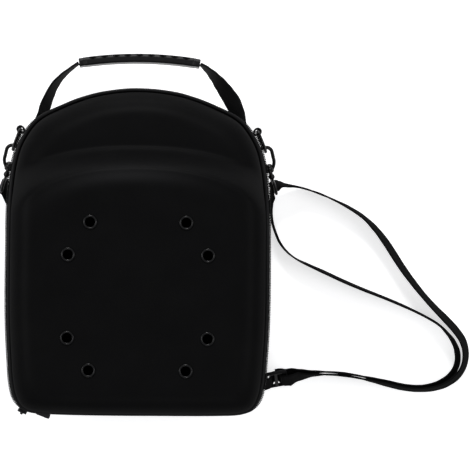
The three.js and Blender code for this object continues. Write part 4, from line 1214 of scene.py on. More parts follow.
@dataclass
class Rim:
    """Piping, zip and hinge strip between the two shells."""

    outline: CaseOutline
    tape: float = 1.5
    lap: float = 7.0
    chain_width: float = 3.0
    loop_pitch: float = 1.6
    loop_radius: float = 0.52
    loop_lean: float = 0.35
    seam_pitch: float = 3.4

    def build(self, bench: Bench) -> None:
        """Makes the bands round the rim with their stitches, the coil, slider and end tab."""
        self.piping(bench)
        self.tapes(bench)
        self.coil(bench)
        self.hinge(bench)
        self.slider(bench)
        self.end_tab(bench)

    @property
    def span(self) -> tuple[float, float]:
        """First and last spoke of the zip, over the top."""
        return 64 - self.outline.zip_end, 64 + self.outline.zip_end

    def wall_row(self, up: float, start: float, end: float) -> Array:
        """Points on the outer face of what is sewn to the back shell, up from its lower edge."""
        o = self.outline
        return o.line_at(o.back_rim_inset - GAP - self.tape - 0.1, 0,
                         o.back_depth - self.lap + up, start, end)

    def wall_seam(self, up: float, start: float, end: float) -> Flock:
        """Stitches along a row of points on that face."""
        row = self.wall_row(up, start, end)
        return stitches(row, unit(np.cross(tangents(row), -UP)), self.seam_pitch)

    def piping(self, bench: Bench) -> None:
        """A round bead that stands on the front tape."""
        o = self.outline
        z = o.rim_z + self.tape + GAP + o.bead_radius
        circle = [(o.bead_radius * math.sin(a), 1.0, z + o.bead_radius * math.cos(a))
                  for a in np.linspace(0, 2 * np.pi, 12, endpoint=False)]
        band = o.band(circle, 0, 64, 0.06, 1)
        bench.piece("rim_piping_cloth", [band], PIPING)

    def tapes(self, bench: Bench) -> None:
        """The two woven tapes on both sides of the zip, each with a row of stitches."""
        o = self.outline
        low, high = o.chain_z - o.chain_height / 2, o.chain_z + o.chain_height / 2
        seat, out = o.back_rim_inset - GAP, o.back_rim_inset - GAP - self.tape
        back = o.band([(seat, 0, o.back_depth - self.lap), (seat, 0, o.back_depth),
                       (self.chain_width - 0.4, 0, low - GAP), (0.9, 0, low - GAP),
                       (out, 0, o.back_depth - self.lap)], *self.span, 0.05)
        bench.piece("tape_back_cloth", [back, self.wall_seam(2.0, *self.span)], TAPE)
        top, b = o.rim_z + self.tape, o.bead_radius
        front = o.band([(self.chain_width - 0.6, 0, high + GAP), (b, 1, o.rim_z), (b, 1, top),
                        (b - 2, 1, top), (b - 2.2, 1, o.rim_z), (0.5, 0, high + GAP)],
                       *self.span, 0.05)
        side = unit(np.cross(tangents(self.wall_row(2.0, *self.span)), -UP))
        seam = stitches(o.line_at(b - 2.05, 1, top - 0.35, *self.span), unit(side + UP),
                        self.seam_pitch)
        bench.piece("tape_front_cloth", [front, seam], TAPE)

    def coil(self, bench: Bench) -> None:
        """A closed coil: a core band, and loops that lean to and fro over it."""
        o = self.outline
        low, high = o.chain_z - o.chain_height / 2, o.chain_z + o.chain_height / 2
        w = self.chain_width
        core = o.band([(w, 0, low), (w, 0, high), (1.1, 0, high - 0.2), (0.8, 0, o.chain_z),
                       (1.1, 0, low + 0.2)], *self.span)
        start, end = self.span
        row = o.line_at(0.62, 0, o.chain_z, start + 0.05, end - 0.05)
        row = even(row, int(lengths(row)[-1] / self.loop_pitch))
        run = tangents(row)
        out = unit(np.cross(run, -UP))
        way = np.where(np.arange(len(row)) % 2 == 0, 1.0, -1.0)[:, None]
        up = unit(UP + self.loop_lean * way * run)
        axes = np.stack([up, np.cross(out, up), out], 1)
        loops = Flock(thread(o.chain_height - 0.3, self.loop_radius), row + 0.1 * out, axes)
        bench.piece("zip_coil_chain", [core, loops], COIL, "zip_chain")

    def hinge(self, bench: Bench) -> None:
        """The cloth that joins the shells along the bottom, a little wavy."""
        o = self.outline
        b, top, low = o.bead_radius, o.rim_z + self.tape, o.back_depth - self.lap
        seat, out = o.back_rim_inset - GAP, o.back_rim_inset - GAP - self.tape
        start, end = o.zip_end + 0.05, 64 - o.zip_end - 0.05
        strip = o.band([(seat, 0, low), (seat, 0, o.back_depth), (b + 0.1, 1, o.chain_z),
                        (b, 1, top), (b - 2, 1, top), (0.9, 0, o.chain_z), (out, 0, low)],
                       start, end, 0.22)
        bench.piece("hinge_strip_cloth", [strip, self.wall_seam(1.6, start, end)], HINGE_CLOTH)

    def frame_at(self, spoke: float) -> tuple[Array, Array]:
        """Axes along, out and up, and the place on the outline at the zip's height."""
        out = self.outline.outward(spoke)
        return (np.array([np.cross(UP, out), out, UP]),
                self.outline.spot(spoke, 0, self.outline.chain_z))

    def slider(self, bench: Bench) -> None:
        """The slider on the zip: a body, a bridge over it and a pull that hangs from it."""
        height, foot = 3.2, 3.0
        pull_length, eye_drop, ridge_drop, ridge_pitch = 21.0, 3.2, 12.5, 2.2
        axes, place = self.frame_at(self.span[0] + 0.95)
        flat = np.array([axes[0], axes[2], axes[1]])
        body = slab(box_outline(4.5, 3.6, 1.6), GAP, GAP + height, 0.6, flat, place)
        hoop = arc(0, 0, 1, 180, 0, 16) * (2.2, 1.5) + (0, GAP + foot)
        line = place + hoop[:, 1:] * axes[1] + hoop[:, :1] * axes[2]
        bridge = sweep(line, axes[0], np.cross(tangents(line), axes[0]),
                       rounded(box_outline(1.3, 0.45, 0.2, 2), 1))
        drop = place + axes[1] * (GAP + foot)
        outline = np.vstack([arc(0, -pull_length, 3.0, 180, 360, 14),
                             arc(0, -eye_drop, 1.7, 0, 180, 10)])
        pull = slab(outline, -0.55, 0.6, 0.4, flat, drop)
        ring = arc(0, -eye_drop, 1.9, 0, 360, 24)[:-1]
        eye = tube(drop + ring @ flat[:2], flat[2], 0.55, True, 10)
        ridges = [slab(box_outline(1.9, 0.4, 0.3, 3) + (0, -ridge_drop - ridge_pitch * n), 0.4,
                       0.95, 0.2, flat, drop) for n in range(4)]
        bench.piece("zip_slider_pull", [body, bridge, pull, eye, *ridges], ENAMEL)

    def end_tab(self, bench: Bench) -> None:
        """A tab of folded cloth over the zip's end, with a fold line and a bar of stitches."""
        axes, place = self.frame_at(64 - self.outline.zip_end - 1.2)
        seat, half, seam_half = GAP - 0.8, 5.5, 4.4
        outline = rounded([(-7, seat), (7, seat), (6.6, GAP + 3.4), (5.6, GAP + 4.7),
                           (-3, GAP + 1.9), (-6.6, GAP + 1.0)], 3)
        fold = slab(outline, -half, half, 0.7, axes, place)
        top = place + axes[1] * (GAP + 3.1) + axes[0] * 1.4
        row = top + np.linspace(-seam_half, seam_half, 12)[:, None] * axes[2]
        bench.piece("zip_end_tab_cloth", [fold, stitches(row, axes[1], 1.1, 1.0)], TAB_CLOTH)


# ---- Straps ----

@dataclass(frozen=True)
class Row:
    """A place that the middle of a flat strap passes.

    Attributes:
        place: The place.
        lean: The width's lean away from upright towards the right of the run, in degrees.
        across: The width's direction, in place of a lean.
    """

    place: Array
    lean: float = 0.0
    across: Array | None = None


@dataclass
class Ribbon:
    """A flat woven band along a curve through rows."""

    rows: Sequence[Row]
    width: float
    thickness: float
    steps: int = 8
    path: Array = field(init=False)
    face: Array = field(init=False)
    across: Array = field(init=False)

    def __post_init__(self) -> None:
        """Works out the path, and the directions of the band's width and face along it.

        The path is the centripetal curve through the rows. Between two rows the width's
        direction is eased from one to the other, and made square to the run.
        """
        self.path = spline(np.array([row.place for row in self.rows]), self.steps)
        run = tangents(self.path)
        right = unit(np.cross(run[::self.steps], UP))
        ways = []
        for row, side in zip(self.rows, right):
            lean = math.radians(row.lean)
            leaned = UP * math.cos(lean) + side * math.sin(lean)
            ways.append(leaned if row.across is None else row.across)
        ways = np.array(ways)
        at = np.arange(len(self.path)) / self.steps
        low = np.minimum(at.astype(int), len(ways) - 2)
        share = smooth(at - low)[:, None]
        across = ways[low] * (1 - share) + ways[low + 1] * share
        across -= np.sum(across * run, -1, keepdims=True) * run
        self.across = unit(across)
        self.face = np.cross(run, self.across)

    def patch(self) -> Patch:
        """The band's surface."""
        return sweep(self.path, self.across, self.face, band_outline(self.width, self.thickness))

    def seam(self, start: float, end: float, off: float, pitch: float, side: float) -> Flock:
        """Stitches along a stretch of the band.

        Args:
            start: Length from the band's start, in millimetres.
            end: Length where the seam ends.
            off: Distance from the band's middle line.
            pitch: Distance between stitches.
            side: 1 for the face towards run times width, -1 for the other.

        Returns:
            The stitches.
        """
        run = lengths(self.path)
        at = np.linspace(start, end, 40)
        both = np.hstack([self.path, self.across, self.face])
        p = np.stack([np.interp(at, run, column) for column in both.T], -1)
        lift = side * (self.thickness / 2 + 0.02)
        line = p[:, :3] + p[:, 3:6] * off + p[:, 6:] * lift
        return stitches(line, p[:, 6:] * side, pitch)

    def end_seams(self, back: float, off: float, pitch: float) -> list[Flock]:
        """Four seams at the band's end, along both edges and on both faces.

        Args:
            back: How far before the end they start.
            off: Their distance from the band's middle line.
            pitch: Distance between stitches.

        Returns:
            The seams.
        """
        full = lengths(self.path)[-1]
        return [self.seam(full - back, full - 2, edge, pitch, face)
                for edge in (-off, off) for face in (-1, 1)]


def dots(pairs: Sequence[tuple[float, float]], axes: Array, centre: Array, height: float,
         side: float) -> Flock:
    """Stitches along straight lines between points of a plane, on one face of a flat piece."""
    line = in_plane(np.array(pairs, float), axes, centre) + side * height * axes[2]
    return stitches(even(line, 60), axes[2] * side, 2.6)


# ---- Handle ----

@dataclass
class Handle:
    """The carrying handle: a moulded grip on webbing that runs down both sides of the case."""

    outline: CaseOutline
    height: float = 42.5
    web_width: float = 21.0
    web_thickness: float = 1.6
    web_end: float = 8.55
    length: float = 115.0
    thickness: float = 8.2
    width: float = 26.0
    rise: float = 4.6
    lift: float = 30.2
    corner: float = 2.4
    slots: int = 9
    slot_pitch: float = 11.0
    slot_length: float = 6.4
    slot_depth: float = 1.9

    @property
    def middle(self) -> float:
        """Y of the grip's middle."""
        return self.outline.top_y + self.lift

    def build(self, bench: Bench) -> None:
        """Makes the grip and both webbings."""
        self.grip(bench)
        for side in Side:
            self.webbing(bench, side)

    def grip(self, bench: Bench) -> None:
        """A rounded bar along a parabola, pressed in at the finger slots.

        A section point goes towards the bar's middle by the slots' depth, times a pulse of the
        length along (1 within a slot), times 1 on the middle of the outer face. Shallower oval
        dimples lie beside each slot, on the bevels of the outer edges. Both ends step down to a
        collar.
        """
        share = np.linspace(0, 1, 420)
        x = (share - 0.5) * self.length
        line = np.stack([x, self.middle - self.rise * (2 * share - 1) ** 2,
                         np.full(len(x), self.height)], -1)
        run = tangents(line)
        out = np.stack([-run[:, 1], run[:, 0], 0 * x], -1)
        h, w, c = self.thickness / 2, self.width / 2, self.corner
        eighth = [(h, w - c), (h - c, w), (c * 0.4 - h, w), (-h, w - c * 0.4)]
        corners = np.array(eighth + [(p, -q) for p, q in eighth[::-1]])
        section = even(rounded(even(corners, 56, True), 1), 132, True)
        a, b = section.T
        face_low, face_margin, dimple_radius, collar = 2.4, 3.4, 1.5, 5
        outer = smooth(a - face_low) * smooth((w - face_margin - np.abs(b)) / 0.8)
        bevel = np.hypot(a - (h - c * 0.55), np.abs(b) - (w - c * 0.45)) / dimple_radius
        centres = (np.arange(self.slots) - (self.slots - 1) / 2) * self.slot_pitch
        near = np.min(np.abs(x[:, None] - centres[None]), axis=1)
        pulse = smooth((self.slot_length / 2 + 0.35 - near) / 0.7)
        oval = np.sqrt((near[:, None] / (self.slot_length / 2)) ** 2 + bevel[None] ** 2)
        press = self.slot_depth * pulse[:, None] * outer[None]
        press = press + self.slot_depth * smooth((1.12 - oval) / 0.35)
        from_end = self.length / 2 - np.abs(x)
        waist = 1 - 0.05 * smooth((collar - from_end) / 0.8)
        waist *= np.sqrt(np.clip(from_end / 0.8, 0.12, 1.0)) * 0.12 + 0.88
        groove = 1 - 0.02 * np.exp(-((collar + 1.5 - from_end) / 0.5) ** 2)
        size = (waist * groove)[:, None]
        sunk = press * (1 - outer[None]) * 0.8
        aa, bb = (a[None] - press) * size, (b[None] - np.sign(b)[None] * sunk) * size
        points = line[:, None] + aa[..., None] * out[:, None] + bb[..., None] * UP
        bar = Patch(points, lengths(line), lengths(section, True))
        bench.piece("handle_grip_rubber", [bar], GRIP_RUBBER, crease=SOFT_CREASE)

    def rows(self, side: Side) -> list[Row]:
        """The webbing's rows, from the grip's end to the back shell's wall."""
        o, way = self.outline, side.value
        shares = {
            Side.LEFT: [(0.5272, 19.5, 4), (0.5879, 12.9, 9), (0.6438, 4.2, 16),
                        (0.6813, -5.2, 21), (0.7141, -15.7, 26), (0.7396, -25.7, 24)],
            Side.RIGHT: [(0.5160, 20.3, -10), (0.5671, 13.9, -20), (0.6182, 6.1, -31),
                         (0.6629, -1.5, -38), (0.7077, -9.9, -43), (0.7428, -19.3, -38)]}[side]
        first, last = {Side.LEFT: (2, 14), Side.RIGHT: (-2, -20)}[side]
        clear = GAP + self.web_thickness / 2 + 0.6
        end = o.wall_lean * -way
        at = 64 - self.web_end if side is Side.LEFT else self.web_end
        grip_end = self.length / 2 + 2 * GAP
        rows = [Row(np.array([way * grip_end, self.middle - self.rise, self.height]), first)]
        rows += [Row(np.array([way * x * o.width / 2, o.top_y + y, self.height]), lean)
                 for x, y, lean in shares]
        rows += [Row(o.on_wall(at - 0.25 * way, self.height, clear + 1), last),
                 Row(o.on_wall(at, self.height, clear), end)]
        return rows

    def webbing(self, bench: Bench, side: Side) -> None:
        """One webbing, with rows of stitches along both edges of its end, on both faces, where it
        is sewn to the back shell.
        """
        band = Ribbon(self.rows(side), self.web_width, self.web_thickness)
        bench.piece(f"handle_webbing_{side.word}_cloth",
                    [band.patch(), *band.end_seams(16, 8.2, 2.8)], HANDLE_WEB)


# ---- Rings and hooks ----

@dataclass
class HookSet:
    """One side's webbing tab, D-ring, snap hook with its gate, and swivel eye."""

    side: Side
    outline: CaseOutline
    ring_wire: float = 1.45
    ring_width: float = 24.0
    ring_depth: float = 20.6
    ring_z: float = 42.5
    tab_width: float = 19.0
    tab_loop: float = 2.2
    tab_foot: float = 13.0
    tab_reach: float = 11.0
    web: float = 1.6
    wire: float = 1.6
    bow: float = 5.8
    hook_reach: float = 22.0
    barrel_radius: float = 3.6
    barrel_length: float = 6.0
    stem: float = 1.6
    head: float = 2.7
    knuckle: float = 3.0
    neck: float = 3.0
    eye_depth: float = 12.0
    eye_width: float = 24.0
    eye_wire: float = 1.4
    lean: float = 16.0
    fall: float = 33.0
    gate: float = 2.4
    pin: float = 0.9
    ring_place: Array = field(init=False)
    ring_axes: Array = field(init=False)
    tab_axes: Array = field(init=False)
    foot: Array = field(init=False)
    hook_axes: Array = field(init=False)
    eye_axes: Array = field(init=False)

    def __post_init__(self) -> None:
        """Works out the frames: the tab's out of the wall, the ring's away from it, the hook's
        along its own axis, and the eye's with its bar nearly upright.
        """
        way = self.side.value
        spoke, turn = {Side.LEFT: (64 - 9.22, 21), Side.RIGHT: (9.25, 23)}[self.side]
        out = self.outline.outward(spoke)
        self.ring_place = self.outline.on_wall(spoke, self.ring_z, GAP) + out * self.tab_reach
        turn, lean, fall = (math.radians(v) for v in (turn, self.lean, self.fall))
        away = np.array([way * math.sin(turn), -math.cos(turn), 0])
        self.ring_axes = np.array([away, UP, np.cross(away, UP)])
        self.tab_axes = np.array([np.cross(out, UP), out, UP])
        axis = np.array([-way * math.sin(lean) * math.cos(fall),
                         math.cos(lean) * math.cos(fall), math.sin(fall)])
        bow = np.array([way, 0.0, 0.0])
        bow = unit(bow - bow.dot(axis) * axis)
        hooked = self.ring_place + away * self.ring_depth
        self.foot = hooked - axis * (self.hook_reach + 0.7)
        self.hook_axes = np.array([axis, bow, np.cross(axis, bow)])
        bar = unit(UP - UP.dot(axis) * axis)
        self.eye_axes = np.array([axis, bar, np.cross(axis, bar)])

    @property
    def eye_top(self) -> float:
        """Place of the eye's upper side along the hook's axis."""
        return -self.neck - self.knuckle * 1.6

    @property
    def lug_place(self) -> tuple[float, float]:
        """Place of the gate's pin along the hook and beside it."""
        return 3.4, -self.barrel_radius - 1.6

    @property
    def bar_middle(self) -> Array:
        """The middle of the bar that the strap goes round."""
        return self.foot + self.eye_axes[0] * (self.eye_top - self.eye_depth)

    def build(self, bench: Bench) -> None:
        """Makes the five pieces."""
        self.tab(bench)
        self.ring(bench)
        self.snap_hook(bench)
        self.snap_gate(bench)
        self.swivel(bench)

    def plate(self, size: tuple[float, float, float], at: tuple[float, float], low: float,
              high: float, bevel: float, steps: int = 5) -> Patch:
        """A plate in the hook's plane.

        Args:
            size: Half length, half width and corner radius.
            at: Its middle, along the hook and beside it.
            low: Height of its lower face.
            high: Height of its upper face.
            bevel: Radius of its edges.
            steps: Steps round each corner.

        Returns:
            The plate.
        """
        return slab(box_outline(*size, steps) + at, low, high, bevel, self.hook_axes, self.foot)

    def ring(self, bench: Bench) -> None:
        """A closed round wire along the D: a straight bar, two small corners and a bow."""
        r, corner = self.ring_width / 2, 2.5
        flat = np.vstack([arc(corner, corner - r, corner, 180, 270, 8),
                          arc(self.ring_depth - r, 0, r, -90, 90, 48),
                          arc(corner, r - corner, corner, 90, 180, 8)])
        line = even(in_plane(flat, self.ring_axes, self.ring_place), 150, True)
        ring = tube(line, self.ring_axes[2], self.ring_wire, True, 18)
        bench.piece(f"d_ring_{self.side.word}_wire", [ring], ENAMEL)

    def tab(self, bench: Bench) -> None:
        """Webbing folded round the ring's bar, down a neck and out to both sides on the wall.

        It is worked out in the tab's own plane. Down the neck each point moves out by the
        wall's slope times its height, times its share of the way to the wall.
        """
        outer = self.tab_loop + self.web
        neck = self.tab_reach - self.tab_loop - self.web - 0.55
        low, r, h = -outer - neck + self.web / 2, self.tab_loop + self.web / 2, self.web / 2
        open_way = math.degrees(math.asin(h / r))
        left = np.array([[-self.tab_foot / 2 + 0.1, low], [-4, low], [-2.2, low + 0.1],
                         [-h - 0.1, low + 1.2], [-h, low + 3], [-h, -r - 1.0]])
        around = arc(0, 0, r, 270 - open_way - 8, open_way - 82, 14)
        right = (left * (-1, 1))[::-1]
        flat = spline(np.vstack([left, around, right]), 5)
        line = np.hstack([flat, np.zeros((len(flat), 1))])
        run = tangents(line)
        patch = sweep(line, UP, np.cross(run, UP), band_outline(self.tab_width, self.web))
        skin = self.web + 0.05
        seams = [stitches(np.array([[s * skin, y, -7.6], [s * skin, y, 7.6]]),
                          np.array([s, 0.0, 0.0]), 1.7, 1.4)
                 for s in (-1.0, 1.0) for y in (-5.0, -6.6)]
        slope = self.outline.back_draft / (self.outline.back_depth - self.outline.foot_radius)
        p = patch.points
        share = np.clip((-outer - p[..., 1]) / neck, 0, 1)
        p[..., 1] += share * slope * p[..., 2]
        patch.points = self.ring_place + p @ self.tab_axes
        for seam in seams:
            seam.places = self.ring_place + seam.places @ self.tab_axes
            seam.axes = seam.axes @ self.tab_axes
        bench.piece(f"ring_tab_{self.side.word}_cloth", [patch, *seams], HANDLE_WEB)

    def snap_hook(self, bench: Bench) -> None:
        """A barrel with two grooves, a tapered bow with a round nose, and a lug for the gate."""
        length, radius = self.barrel_length, self.barrel_radius
        profile = np.array([[0, radius - 0.5], [0.35, radius], [1.3, radius], [1.55, radius - 0.35],
                            [1.95, radius - 0.35], [2.2, radius], [4.1, radius],
                            [4.35, radius - 0.3], [4.7, radius - 0.3], [4.95, radius],
                            [length - 0.4, radius], [length, radius - 0.6],
                            [length, self.stem + GAP], [0, self.stem + GAP]])
        barrel = lathe(profile, self.hook_axes, self.foot, closed=True)
        flat = np.vstack([[[length * 0.4, radius - 1.2], [length, self.bow - 1.5],
                           [length + 4, self.bow - 0.2],
                           [(length + 4 + self.hook_reach) / 2, self.bow]],
                          arc(self.hook_reach, 0, self.bow, 90, -90, 10),
                          [[self.hook_reach - 2, -self.bow]]])
        line = even(spline(in_plane(flat, self.hook_axes, self.foot), 8), 90)
        run = lengths(line)
        left = (run[-1] - run) / self.wire
        nose = np.sqrt(np.clip(1 - np.clip(1 - left, 0, 1) ** 2, 0.02, 1))
        thick = self.wire * (1 + 0.1 * np.sin(np.pi * run / run[-1])) * nose
        bow = tube(line, self.hook_axes[2], thick, sides=18)
        x, y = self.lug_place
        lug = self.plate((1.9, 2.35, 0.9), (x, y + 0.55), -1.0, 1.0, 0.25)
        bench.piece(f"snap_hook_{self.side.word}_steel", [barrel, bow, lug], ENAMEL,
                    body=f"hook_{self.side.word}")

    def snap_gate(self, bench: Bench) -> None:
        """The lever: a rounded bar, two cheeks beside the lug, a thumb ridge and a pin."""
        x, y = self.lug_place
        side, inside, half = 2.4, 1.3, self.gate / 2
        near, far = x + 2.2, self.hook_reach - 2 - GAP
        bar = self.plate(((far - near) / 2, half, 0.8), ((far + near) / 2, -self.bow), -side, side,
                         0.5)
        cheeks = [self.plate((2.3, 1.4, 1.1), (x + 0.45, y - 0.5), low, high, 0.25)
                  for low, high in ((inside, side), (-side, -inside))]
        across = np.array([self.hook_axes[2], self.hook_axes[0], self.hook_axes[1]])
        seat = self.foot + self.hook_axes[0] * x + self.hook_axes[1] * y
        head = np.array([(-2.72, 0.75), (-2.6, 1.05), (-2.3, 1.1), (-2.3, self.pin)])
        pin = lathe(np.vstack([head, (head * (-1, 1))[::-1]]), across, seat, sides=24)
        ridges = [self.plate((0.35, 0.3, 0.15), (13.2 + 1.3 * n, -self.bow - half), -1.7, 1.7,
                             0.15, 3) for n in range(3)]
        bench.piece(f"snap_gate_{self.side.word}_lever", [bar, *cheeks, pin, *ridges], ENAMEL,
                    body=f"gate_{self.side.word}")

    def swivel(self, bench: Bench) -> None:
        """The eye: a wire with round corners, a knuckle, and a stem with a domed head."""
        w, top, corner = self.eye_width / 2, self.eye_top, 3.0
        low = top - self.eye_depth
        flat = box_outline(self.eye_depth / 2, w, corner, 8) + ((top + low) / 2, 0)
        line = even(in_plane(flat, self.eye_axes, self.foot), 130, True)
        eye = tube(line, self.eye_axes[2], self.eye_wire, True, 16)
        ball = arc(-self.neck - self.knuckle, 0, self.knuckle, 180, 40, 14)
        start = self.barrel_length + GAP
        dome = np.array([[start, self.stem], [start, self.head], [start + 0.9, self.head],
                         [start + 1.35, self.head * 0.8], [start + 1.6, self.head * 0.4]])
        ball[:, 1] = np.maximum(np.abs(ball[:, 1]), 0.3)
        profile = np.vstack([ball, [[-2.6, self.stem + 0.2], [-1.6, self.stem]], dome])
        core = lathe(profile, self.eye_axes, self.foot, sides=36)
        bench.piece(f"swivel_eye_{self.side.word}_steel", [eye, core], ENAMEL)


# ---- Shoulder strap ----

@dataclass
class ShoulderStrap:
    """The shoulder strap on its edge on the floor: three lengths, an end loop and a buckle."""

    outline: CaseOutline
    left: HookSet
    right: HookSet
    width: float = 20.0
    thickness: float = 1.6
    floor_lift: float = 0.5
    inset: float = 5.0
    block: float = 14.0
    loop_turn: float = 35.0
    buckle_length: float = 22.0
    buckle_width: float = 27.0
    buckle_thickness: float = 3.4
    bar: float = 3.2
    end: float = 2.5
    buckle_out: float = 9.0
    buckle_up: float = 32.3
    buckle_turn: float = 11.0
    buckle_lean: float = 58.0
    behind: tuple[int, ...] = (48, 47, 46, 45, 44, 42, 40, 39, 38, 37, 36, 35, 34, 32, 30, 29, 28,
                               27, 26)
    buckle_axes: Array = field(init=False)
    buckle_place: Array = field(init=False)
    loop_axes: Array = field(init=False)

    def __post_init__(self) -> None:
        """Works out the buckle's frame, turned and leaning, and the end loop's."""
        turn, tip = math.radians(self.buckle_turn), math.radians(self.buckle_lean)
        run = np.array([math.cos(turn), math.sin(turn), 0.0])
        across = UP * math.sin(tip) + np.cross(UP, run) * math.cos(tip)
        self.buckle_axes = np.array([run, across, np.cross(run, across)])
        self.buckle_place = np.array([
            self.outline.width / 2 + self.buckle_out,
            self.outline.middle_y - self.outline.height / 2 + self.buckle_up,
            self.floor_lift + math.sin(tip) * self.buckle_width / 2
            + math.cos(tip) * self.buckle_thickness / 2])
        axis, bar = self.left.eye_axes[:2]
        inward = unit(np.cross(bar, axis))
        inward = inward * np.sign(inward[0])
        turn = math.radians(self.loop_turn)
        way = -axis * math.cos(turn) + inward * math.sin(turn)
        self.loop_axes = np.array([way, np.cross(bar, way), bar])

    def laid(self, rows: Sequence[tuple[float, ...]], out: bool = True) -> list[Row]:
        """Rows of a strap that lies on its edge.

        The middle's height is the floor's lift, half the width times the cosine of the lean,
        half the thickness times its sine, and the row's own lift.

        Args:
            rows: Place across and along, lean and, where there is one, lift.
            out: Whether the first number is measured out from the case's right side.

        Returns:
            The rows.
        """
        made = []
        for x, y, lean, *lift in rows:
            tilt = math.radians(lean)
            rest = (self.width / 2 * math.cos(tilt)
                    + self.thickness / 2 * abs(math.sin(tilt)))
            z = self.floor_lift + rest + (lift[0] if lift else 0.0)
            made.append(Row(np.array([x + (self.outline.width / 2 if out else 0), y, z]), lean))
        return made

    def threaded(self, rows: Sequence[tuple[float, float]]) -> list[Row]:
        """Rows through the buckle: along it, and off its plate."""
        run, across, face = self.buckle_axes
        return [Row(self.buckle_place + run * along + face * off, across=across)
                for along, off in rows]

    def round_bar(self, rows: Sequence[tuple[float, ...]]) -> list[Row]:
        """Rows round the right eye's bar: aside of it, below it, and how far turned upright."""
        axis, bar, aside = self.right.eye_axes
        return [Row(self.right.bar_middle - axis * below + aside * side,
                    across=unit(bar + UP * sum(upright)))
                for side, below, *upright in rows]

    def off_loop(self, along: float) -> Row:
        """A row past the end loop."""
        return Row(self.left.bar_middle + self.loop_axes[0] * (self.block + along),
                   across=self.left.eye_axes[1])

    @property
    def off(self) -> float:
        """Distance of the strap's middle from the buckle's middle plane."""
        return self.buckle_thickness / 2 + self.thickness / 2 + 2 * GAP

    @property
    def slot_middle(self) -> float:
        """Distance of each slot's middle from the buckle's middle."""
        return (self.buckle_length - self.bar) / 4

    def rear_rows(self) -> list[Row]:
        """From the end loop, down the left side and behind the case to the buckle."""
        off, slot = self.off, self.slot_middle
        behind = [self.outline.spot(s, self.inset, 0) for s in self.behind]
        return [self.off_loop(GAP), self.off_loop(3),
                *self.laid([(-120.3, 27, 14, 0.8), (-119.5, 18, 6),
                            *((p[0], p[1], 0) for p in behind),
                            (111.4, -154.6, -2), (115.3, -150, -21)], out=False),
                *self.threaded([(-14, off + 1.5), (-9.4, off + 0.6), (-slot - 2.4, off),
                                (-slot, 0), (2.4 - slot, -off), (-GAP / 2, -off)])]

    def outer_rows(self) -> list[Row]:
        """From the buckle out round the far loop, and back to the right eye's bar."""
        off, slot = self.off, self.slot_middle
        return [*self.threaded([(GAP / 2, -off), (slot - 2.4, -off), (slot, 0),
                                (slot + 2.4, off), (9.4, off + 0.5), (14, off + 0.9)]),
                *self.laid([
                    (31.8, -136.4, -22), (44.8, -134.4, -8), (59.8, -133.8, -2),
                    (74.8, -134.7, 0), (88.8, -136.9, -1), (102.8, -139.8, -6),
                    (116.8, -143.1, -10), (131.8, -146.4, -11), (146.8, -147.7, -12),
                    (161.8, -146.2, -15), (173.8, -142, -18), (183.8, -134.5, -21),
                    (189.8, -125, -21), (191.8, -113, -22), (189.3, -101, -23),
                    (182.8, -91, -22), (172.8, -80, -21), (161.8, -69, -18),
                    (150.8, -57, -17), (139.8, -43.5, -19), (129.8, -30, -21),
                    (121.3, -17, -22), (113.3, -5, -21), (103.8, 7, -17), (91.8, 18.5, -11),
                    (77.8, 27.5, -8), (63.8, 34.5, -4), (49.8, 40.5, -1), (37.8, 44.6, -3, 0.2),
                    (28.8, 46.8, -3, 2.57), (19.8, 48.3, -5, 6.6)]),
                *self.round_bar([(7.5, -2.8, 1.0), (3, -2.7), (GAP / 2, -2.65)])]

    def inner_rows(self) -> list[Row]:
        """From the right eye's bar, inside the first loop and back over the buckle."""
        off = self.off
        return [*self.round_bar([(-GAP / 2, -2.65), (-1.9, -1.95), (-2.7, 0), (-2.8, 5)]),
                *self.laid([
                    (3.0, 33, -5, 3.2), (2.8, 26, -2, 0.8), (3.4, 18.5, 0), (4.6, 11, 0),
                    (7.2, 3, 0), (11.3, -6.5, 0), (18.3, -15.5, 1), (27.8, -22.7, 2),
                    (39.8, -28.5, 5), (54.8, -35.2, 7), (72.8, -43.4, 7), (91.8, -51.3, 6),
                    (110.8, -58.6, 5), (127.8, -65.5, 5), (142.8, -72.2, 4), (155.8, -78.8, 4),
                    (165.8, -85, 5), (173.8, -93, 9), (180.3, -102, 15), (183.8, -112, 20),
                    (183.6, -122, 21), (179.3, -131.2, 21), (170.8, -138.4, 18),
                    (160.3, -143, 15), (146.8, -145.1, 12), (131.8, -144, 11), (117.3, -140.8, 10),
                    (103.3, -137.5, 6), (89.3, -134.6, 1), (74.8, -132.4, 0),
                    (59.8, -131.3, 2), (44.8, -131.4, 8), (31.8, -132.2, 20)]),
                *self.threaded([(14, -off), (10, -off - 0.2), (5.5, -off - self.thickness - 0.2),
                                (0, -off - self.thickness - 0.5)])]

    def build(self, bench: Bench) -> None:
        loop, buckle = self.end_loop(bench), self.buckle(bench)
        for word, rows, extras in (("rear", self.rear_rows(), [loop, buckle]),
                                   ("outer", self.outer_rows(), []),
                                   ("inner", self.inner_rows(), [])):
            band = Ribbon(rows, self.width, self.thickness, 6)
            seams = band.end_seams(15, 7.6, 2.6) if word == "inner" else []
            strap = bench.piece(f"strap_{word}_webbing", [band.patch(), *seams], STRAP_WEB)
            path = (band.path + SHIFT) * 0.001
            self.width * 0.001

